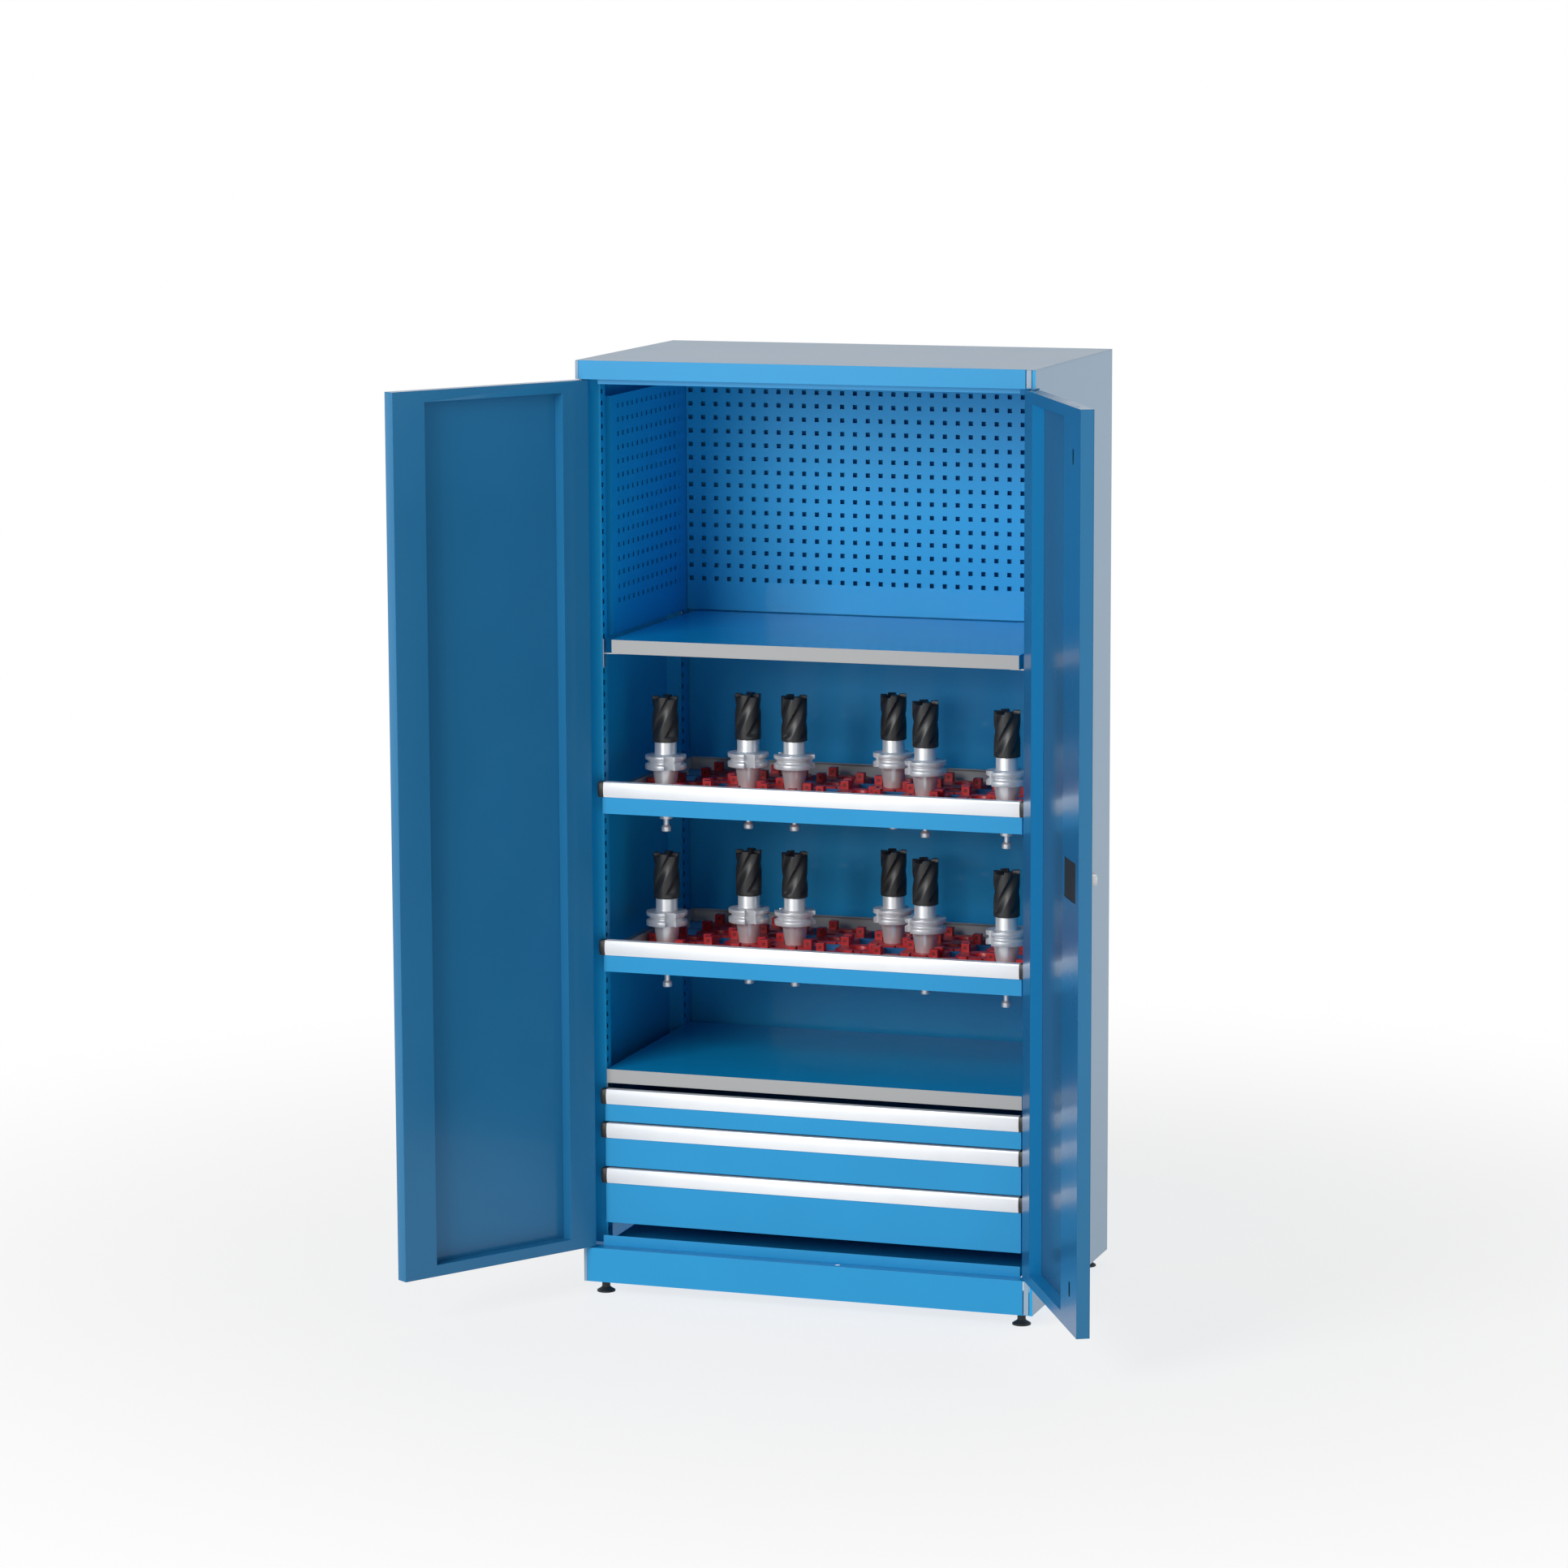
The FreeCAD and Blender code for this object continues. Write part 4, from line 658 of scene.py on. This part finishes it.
def slotted_ring(radius, height):
    """One ring of a holder; its slots face the front and the back before it is turned."""
    cut = radius > math.hypot(SLOT_FLOOR, SLOT_HALF)
    edge = math.asin(SLOT_HALF / (radius if cut else FLANGE_RADIUS))
    span = math.pi - 2 * edge
    last = ARC_POINTS - 1

    def on_circle(angle):
        return (radius * math.cos(angle - math.pi / 2), radius * math.sin(angle - math.pi / 2))

    half = []
    for i in range(FLOOR_POINTS):
        share = -1 + 2 * i / (FLOOR_POINTS - 1)
        half.append((SLOT_HALF * share, -SLOT_FLOOR) if cut else on_circle(edge * share))
    for i in range(ARC_POINTS):
        step = i if cut else min(max(i, ARC_NUDGE), last - ARC_NUDGE)
        half.append(on_circle(edge + span * step / last))
    return [(x, y, height) for x, y in half] + [(-x, -y, height) for x, y in half]


print("a holder ring has", len(slotted_ring(FLANGE_RADIUS, 0.0)), "points")

# %% [markdown]
# The holder and its pull stud follow the usual forms: a steep taper under a flange with a gripper
# groove, a plain nose that takes the cutter, and a stud whose head a machine's drawbar grips. Each is a
# list of radii and heights from the bottom up.

# %% Holders and pull studs
FLANGE_BELOW_NOSE = 0.060
NOSE_LENGTH = 0.030
GROOVE_RADIUS = 0.0380
NOSE_RADIUS = 0.0240
HOLDER_ROUND = 0.0005
STUD_THREAD = 0.016
STUD_HEAD_RADIUS = 0.0105
STUD_NECK_RADIUS = 0.0060
COLLAR_RADIUS = 0.0140
COLLAR_HEIGHT = 0.0100
COLLAR_EDGE = 0.0008
STUD_POINTS = 64
STUD_ROUND = 0.0006


def holder_rings(end, nose_top):
    """Rings of one holder from the small end of its taper to the top of its nose."""
    low = nose_top - FLANGE_BELOW_NOSE
    high = nose_top - NOSE_LENGTH
    profile = [
        (0.0060, end),
        (0.01377, end),
        (0.0285, low - 0.0004),
        (0.0445, low),
        (FLANGE_RADIUS, low + 0.0006),
        (FLANGE_RADIUS, low + 0.0100),
        (GROOVE_RADIUS, low + 0.0140),
        (GROOVE_RADIUS, low + 0.0180),
        (FLANGE_RADIUS, low + 0.0220),
        (FLANGE_RADIUS, high - 0.0006),
        (0.0445, high),
        (0.0282, high),
        (0.0262, high + 0.0006),
        (NOSE_RADIUS, high + 0.0030),
        (NOSE_RADIUS, nose_top - 0.0010),
        (0.0230, nose_top),
        (0.0100, nose_top),
    ]
    rounded = rounded_profile(profile, HOLDER_ROUND)
    return [slotted_ring(radius, height) for radius, height in rounded]


def stud_rings(bottom, thread_top):
    """Rings of one pull stud: head, neck, collar and the thread that enters the holder."""
    top = thread_top - STUD_THREAD
    profile = [
        (0.0030, bottom),
        (0.0088, bottom),
        (STUD_HEAD_RADIUS, bottom + 0.0016),
        (STUD_HEAD_RADIUS, bottom + 0.0100),
        (STUD_NECK_RADIUS, bottom + 0.0150),
        (STUD_NECK_RADIUS, top - COLLAR_HEIGHT),
        (COLLAR_RADIUS - COLLAR_EDGE, top - COLLAR_HEIGHT),
        (COLLAR_RADIUS, top - COLLAR_HEIGHT + COLLAR_EDGE),
        (COLLAR_RADIUS, top - COLLAR_EDGE),
        (COLLAR_RADIUS - COLLAR_EDGE, top),
        (0.0050, top),
        (0.0050, thread_top),
    ]
    rounded = rounded_profile(profile, STUD_ROUND)
    return [circle(radius, height, STUD_POINTS) for radius, height in rounded]


print("a holder has", len(holder_rings(0.0, 0.16)), "rings and a stud", len(stud_rings(0.0, 0.06)))

# %% [markdown]
# A node that holds several equal solids is one mesh, so its loose parts are found by walking along the
# edges. Each part's box then says where its tool or insert sits.

# %% Parts of a node
JOIN_REACH = 0.00001


def islands(node):
    """Lowest and highest corners of each separate solid of a CAD node."""
    build = bmesh.new()
    build.from_mesh(nodes[node].data)
    bmesh.ops.remove_doubles(build, verts=build.verts, dist=JOIN_REACH)
    left = set(build.verts)
    boxes = []
    while left:
        reached = [left.pop()]
        corners = []
        while reached:
            vertex = reached.pop()
            corners.append(vertex.co.copy())
            for edge in vertex.link_edges:
                other = edge.other_vert(vertex)
                if other in left:
                    left.remove(other)
                    reached.append(other)
        low = Vector([min(c[i] for c in corners) for i in range(3)])
        high = Vector([max(c[i] for c in corners) for i in range(3)])
        boxes.append((low, high))
    build.free()
    return sorted(boxes, key=lambda pair: tuple(round(v, 4) for v in pair[0]))


print("solids of the upper cutters", len(islands("cutters_upper")))

# %% [markdown]
# Every tool sits where its CAD solids are, so the middle and the height of each mesh come from the box
# of its solid. The tools are counted from the left, and each was put into its socket by hand, so each
# is turned by an angle of its own.

# %% Tools in their places
ARBOR_DEPTH = 0.012
CUTTER_ROOM = 0.0001
CUTTER_SHARP = 40
TOOTH_TURNS = (8, 5, 38, 24, 26, 25)
SLOT_TURNS = (30, 22, 83, 136, 134, 133)


def add_object(name, data):
    """A new object in the scene, with its mesh, lens or lamp."""
    made = bpy.data.objects.new(name, data)
    bpy.context.scene.collection.objects.link(made)
    return made


def place_copy(name, mesh, centre, finish, node, turn=0.0):
    """Puts a mesh at a centre, on the body of the node that it stands for."""
    piece = add_object(name, mesh)
    piece.data.transform(Matrix.Translation(centre) @ Matrix.Rotation(turn, 4, "Z"))
    piece.data.materials.append(finish)
    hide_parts(node)
    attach(piece, body_of_node[node])


for level in LEVELS:
    for kind in ("tool_holders", "pull_studs", "cutters"):
        node = kind + "_" + level
        for number, (low, high) in enumerate(islands(node)):
            centre = Vector(((low.x + high.x) / 2, (low.y + high.y) / 2, 0))
            name = f"{kind}_{level}_{number + 1}"
            if kind == "cutters":
                radius = (high.x - low.x) / 2 - CUTTER_ROOM
                tooth_turn = math.radians(TOOTH_TURNS[number])
                rings = cutter_rings(radius, low.z + ARBOR_DEPTH, high.z, tooth_turn)
                mesh = mesh_from_rings(name, rings, CUTTER_SHARP)
                place_copy(name, mesh, centre, coated_steel, node)
            elif kind == "tool_holders":
                mesh = mesh_from_rings(name, holder_rings(low.z, high.z))
                turn = math.radians(SLOT_TURNS[number])
                place_copy(name, mesh, centre, ground_steel, node, turn)
            else:
                mesh = mesh_from_rings(name, stud_rings(low.z, high.z))
                place_copy(name, mesh, centre, ground_steel, node)
        print(node, number + 1, "turned pieces")

# %% [markdown]
# Each insert carries two key lugs, and a small black socket screw holds the steel key inside each lug.
# One screw is made as a turned piece with a sunk centre, and copies of it are joined into one mesh for
# each tool frame, because a hundred loose objects would only slow the scene down.

# %% Key screws
SCREW_RADIUS = 0.0034
SCREW_HEAD = 0.0006
SCREW_DEPTH = 0.0030
SCREW_POINTS = 24
SCREW_SHARP = 40
INSERT_HALF_WIDTH = 0.050
LUG_FACE_FRONT = 0.038
LUG_FACE_REAR = 0.020
LUG_MIDDLE = 0.009


def screw_rings():
    """Rings of one socket screw; its head looks along +Z."""
    steps = [
        (SCREW_RADIUS * 0.8, -SCREW_DEPTH),
        (SCREW_RADIUS, -SCREW_DEPTH * 0.8),
        (SCREW_RADIUS, SCREW_HEAD * 0.4),
        (SCREW_RADIUS * 0.88, SCREW_HEAD),
        (SCREW_RADIUS * 0.56, SCREW_HEAD),
        (SCREW_RADIUS * 0.50, SCREW_HEAD * 0.6),
        (SCREW_RADIUS * 0.50, -SCREW_DEPTH * 0.5),
    ]
    return [circle(radius, height, SCREW_POINTS) for radius, height in steps]


def joined_copies(name, mesh, places):
    """One mesh made of a copy of another at each place."""
    build = bmesh.new()
    for place in places:
        copy = mesh.copy()
        copy.transform(place)
        build.from_mesh(copy)
        bpy.data.meshes.remove(copy)
    made = bpy.data.meshes.new(name)
    build.to_mesh(made)
    build.free()
    return made


facing_front = Matrix.Rotation(math.pi / 2, 4, "X")
screw_mesh = mesh_from_rings("key_screw", screw_rings(), SCREW_SHARP)
for level in LEVELS:
    places = []
    for low, high in islands("socket_inserts_" + level):
        middle = (low + high) / 2
        height = high.z - LUG_MIDDLE
        right = middle.x + INSERT_HALF_WIDTH - LUG_MIDDLE
        left = middle.x - INSERT_HALF_WIDTH + LUG_MIDDLE
        for x, y in ((right, middle.y - LUG_FACE_FRONT), (left, middle.y + LUG_FACE_REAR)):
            places.append(Matrix.Translation((x, y, height)) @ facing_front)
    name = "key_screws_" + level
    screws = add_object(name, joined_copies(name, screw_mesh, places))
    screws.data.materials.append(coated_steel)
    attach(screws, body_of_node["socket_inserts_" + level])
    print(name, len(places), "screws")

# %% [markdown]
# The picture is taken from a little above and to the right, with a long lens, so the sides of the
# cabinet stay nearly upright.

# %% Camera
CAMERA_PLACE = Vector((3.409, -10.648, 2.853))
CAMERA_YAW = math.radians(18.46)
CAMERA_PITCH = math.radians(8.91)
CAMERA_ROLL = math.radians(-0.23)
CAMERA_LENS = 119.9
CAMERA_SENSOR = 36.0

camera_data = bpy.data.cameras.new("camera")
camera_data.sensor_width = CAMERA_SENSOR
camera_data.lens = CAMERA_LENS
camera = add_object("camera", camera_data)
camera.matrix_world = (
    Matrix.Translation(CAMERA_PLACE)
    @ Matrix.Rotation(CAMERA_YAW, 4, "Z")
    @ Matrix.Rotation(math.pi / 2 - CAMERA_PITCH, 4, "X")
    @ Matrix.Rotation(CAMERA_ROLL, 4, "Z"))
bpy.context.scene.camera = camera
print("camera", round(CAMERA_PLACE.length, 2), "m away, lens", CAMERA_LENS, "mm")

# %% [markdown]
# Plain studio light: a broad lamp over the front left, a softer one from the right and a weak one from
# above. Each is a square panel that faces the middle of the cabinet.

# %% Lamps
LAMP_TARGET = Vector((0, 0, 1.0))
LAMPS = {
    "front_lamp": {"place": (-2.7, -7.0, 3.7), "size": 3.5, "power": 370},
    "right_lamp": {"place": (6.0, 0.5, 3.0), "size": 2.5, "power": 50},
    "top_lamp": {"place": (0.0, 1.5, 5.5), "size": 3.0, "power": 15},
}
for name, lamp in LAMPS.items():
    data = bpy.data.lights.new(name, "AREA")
    data.size = lamp["size"]
    data.energy = lamp["power"]
    made = add_object(name, data)
    made.location = lamp["place"]
    facing = LAMP_TARGET - Vector(lamp["place"])
    made.rotation_euler = facing.to_track_quat("-Z", "Y").to_euler()
    print(name, lamp["power"], "W,", round(facing.length, 1), "m away")

# %% [markdown]
# The sky is white where the camera, a mirror or a glass looks at it, and much dimmer where it lights
# the cabinet. That gives a white backdrop and still leaves the lamps to shape the surfaces.

# %% Sky
SKY_LIGHT = 0.3
world = bpy.data.worlds.new("studio")
world.use_nodes = True
bpy.context.scene.world = world
sky = Nodes(world.node_tree)
background = sky.tree.nodes["Background"]
rays = sky.tree.nodes.new("ShaderNodeLightPath").outputs
mirror_or_glass = Value(sky, rays["Is Glossy Ray"]).larger(Value(sky, rays["Is Transmission Ray"]))
seen = Value(sky, rays["Is Camera Ray"]).larger(mirror_or_glass)
sky_level = sky.node("MapRange", {}, {"Value": seen, "To Min": SKY_LIGHT, "To Max": 1.0})
sky.feed(background.inputs["Color"], (1, 1, 1, 1))
sky.feed(background.inputs["Strength"], sky_level)
print("the sky lights at", SKY_LIGHT, "and is seen at 1.0")

# %% [markdown]
# The floor is a wide sheet of pale paper that keeps the cabinet's shadow. It glows a little, and more
# with the distance from the cabinet, so it runs into the white sky without an edge.

# %% Floor
FLOOR_HALF = 30.0
FLOOR_GLOW = 0.75
PAPER_WHITE = (0.9, 0.9, 0.9, 1)
FADE_RADIUS = 2.2
FADE_SOFT = 1.2
corners = [(-FLOOR_HALF, -FLOOR_HALF, 0), (FLOOR_HALF, -FLOOR_HALF, 0),
           (FLOOR_HALF, FLOOR_HALF, 0), (-FLOOR_HALF, FLOOR_HALF, 0)]
floor_mesh = bpy.data.meshes.new("floor")
floor_mesh.from_pydata(corners, [], [(0, 1, 2, 3)])
floor = add_object("floor", floor_mesh)
paper = Finish("floor_paper", PAPER_WHITE, 0.9, specular=0.1)
distance = paper.node("VectorMath", {"operation": "LENGTH"}, {0: paper.place}, "Value")
glow_share = distance.above(FADE_RADIUS, FADE_SOFT) * (1 - FLOOR_GLOW) + FLOOR_GLOW
glow = paper.node("Emission", {}, {"Color": (1, 1, 1, 1), "Strength": 1.0})
lit = Value(paper, paper.shader.outputs[0])
surface = paper.node("MixShader", {}, {0: glow_share, 1: lit, 2: glow})
paper.feed(paper.tree.nodes["Material Output"].inputs[0], surface)
floor_mesh.materials.append(paper.material)
print("floor glow", FLOOR_GLOW, "near the cabinet")

bpy.context.scene.view_settings.view_transform = "Standard"

# %% [markdown]
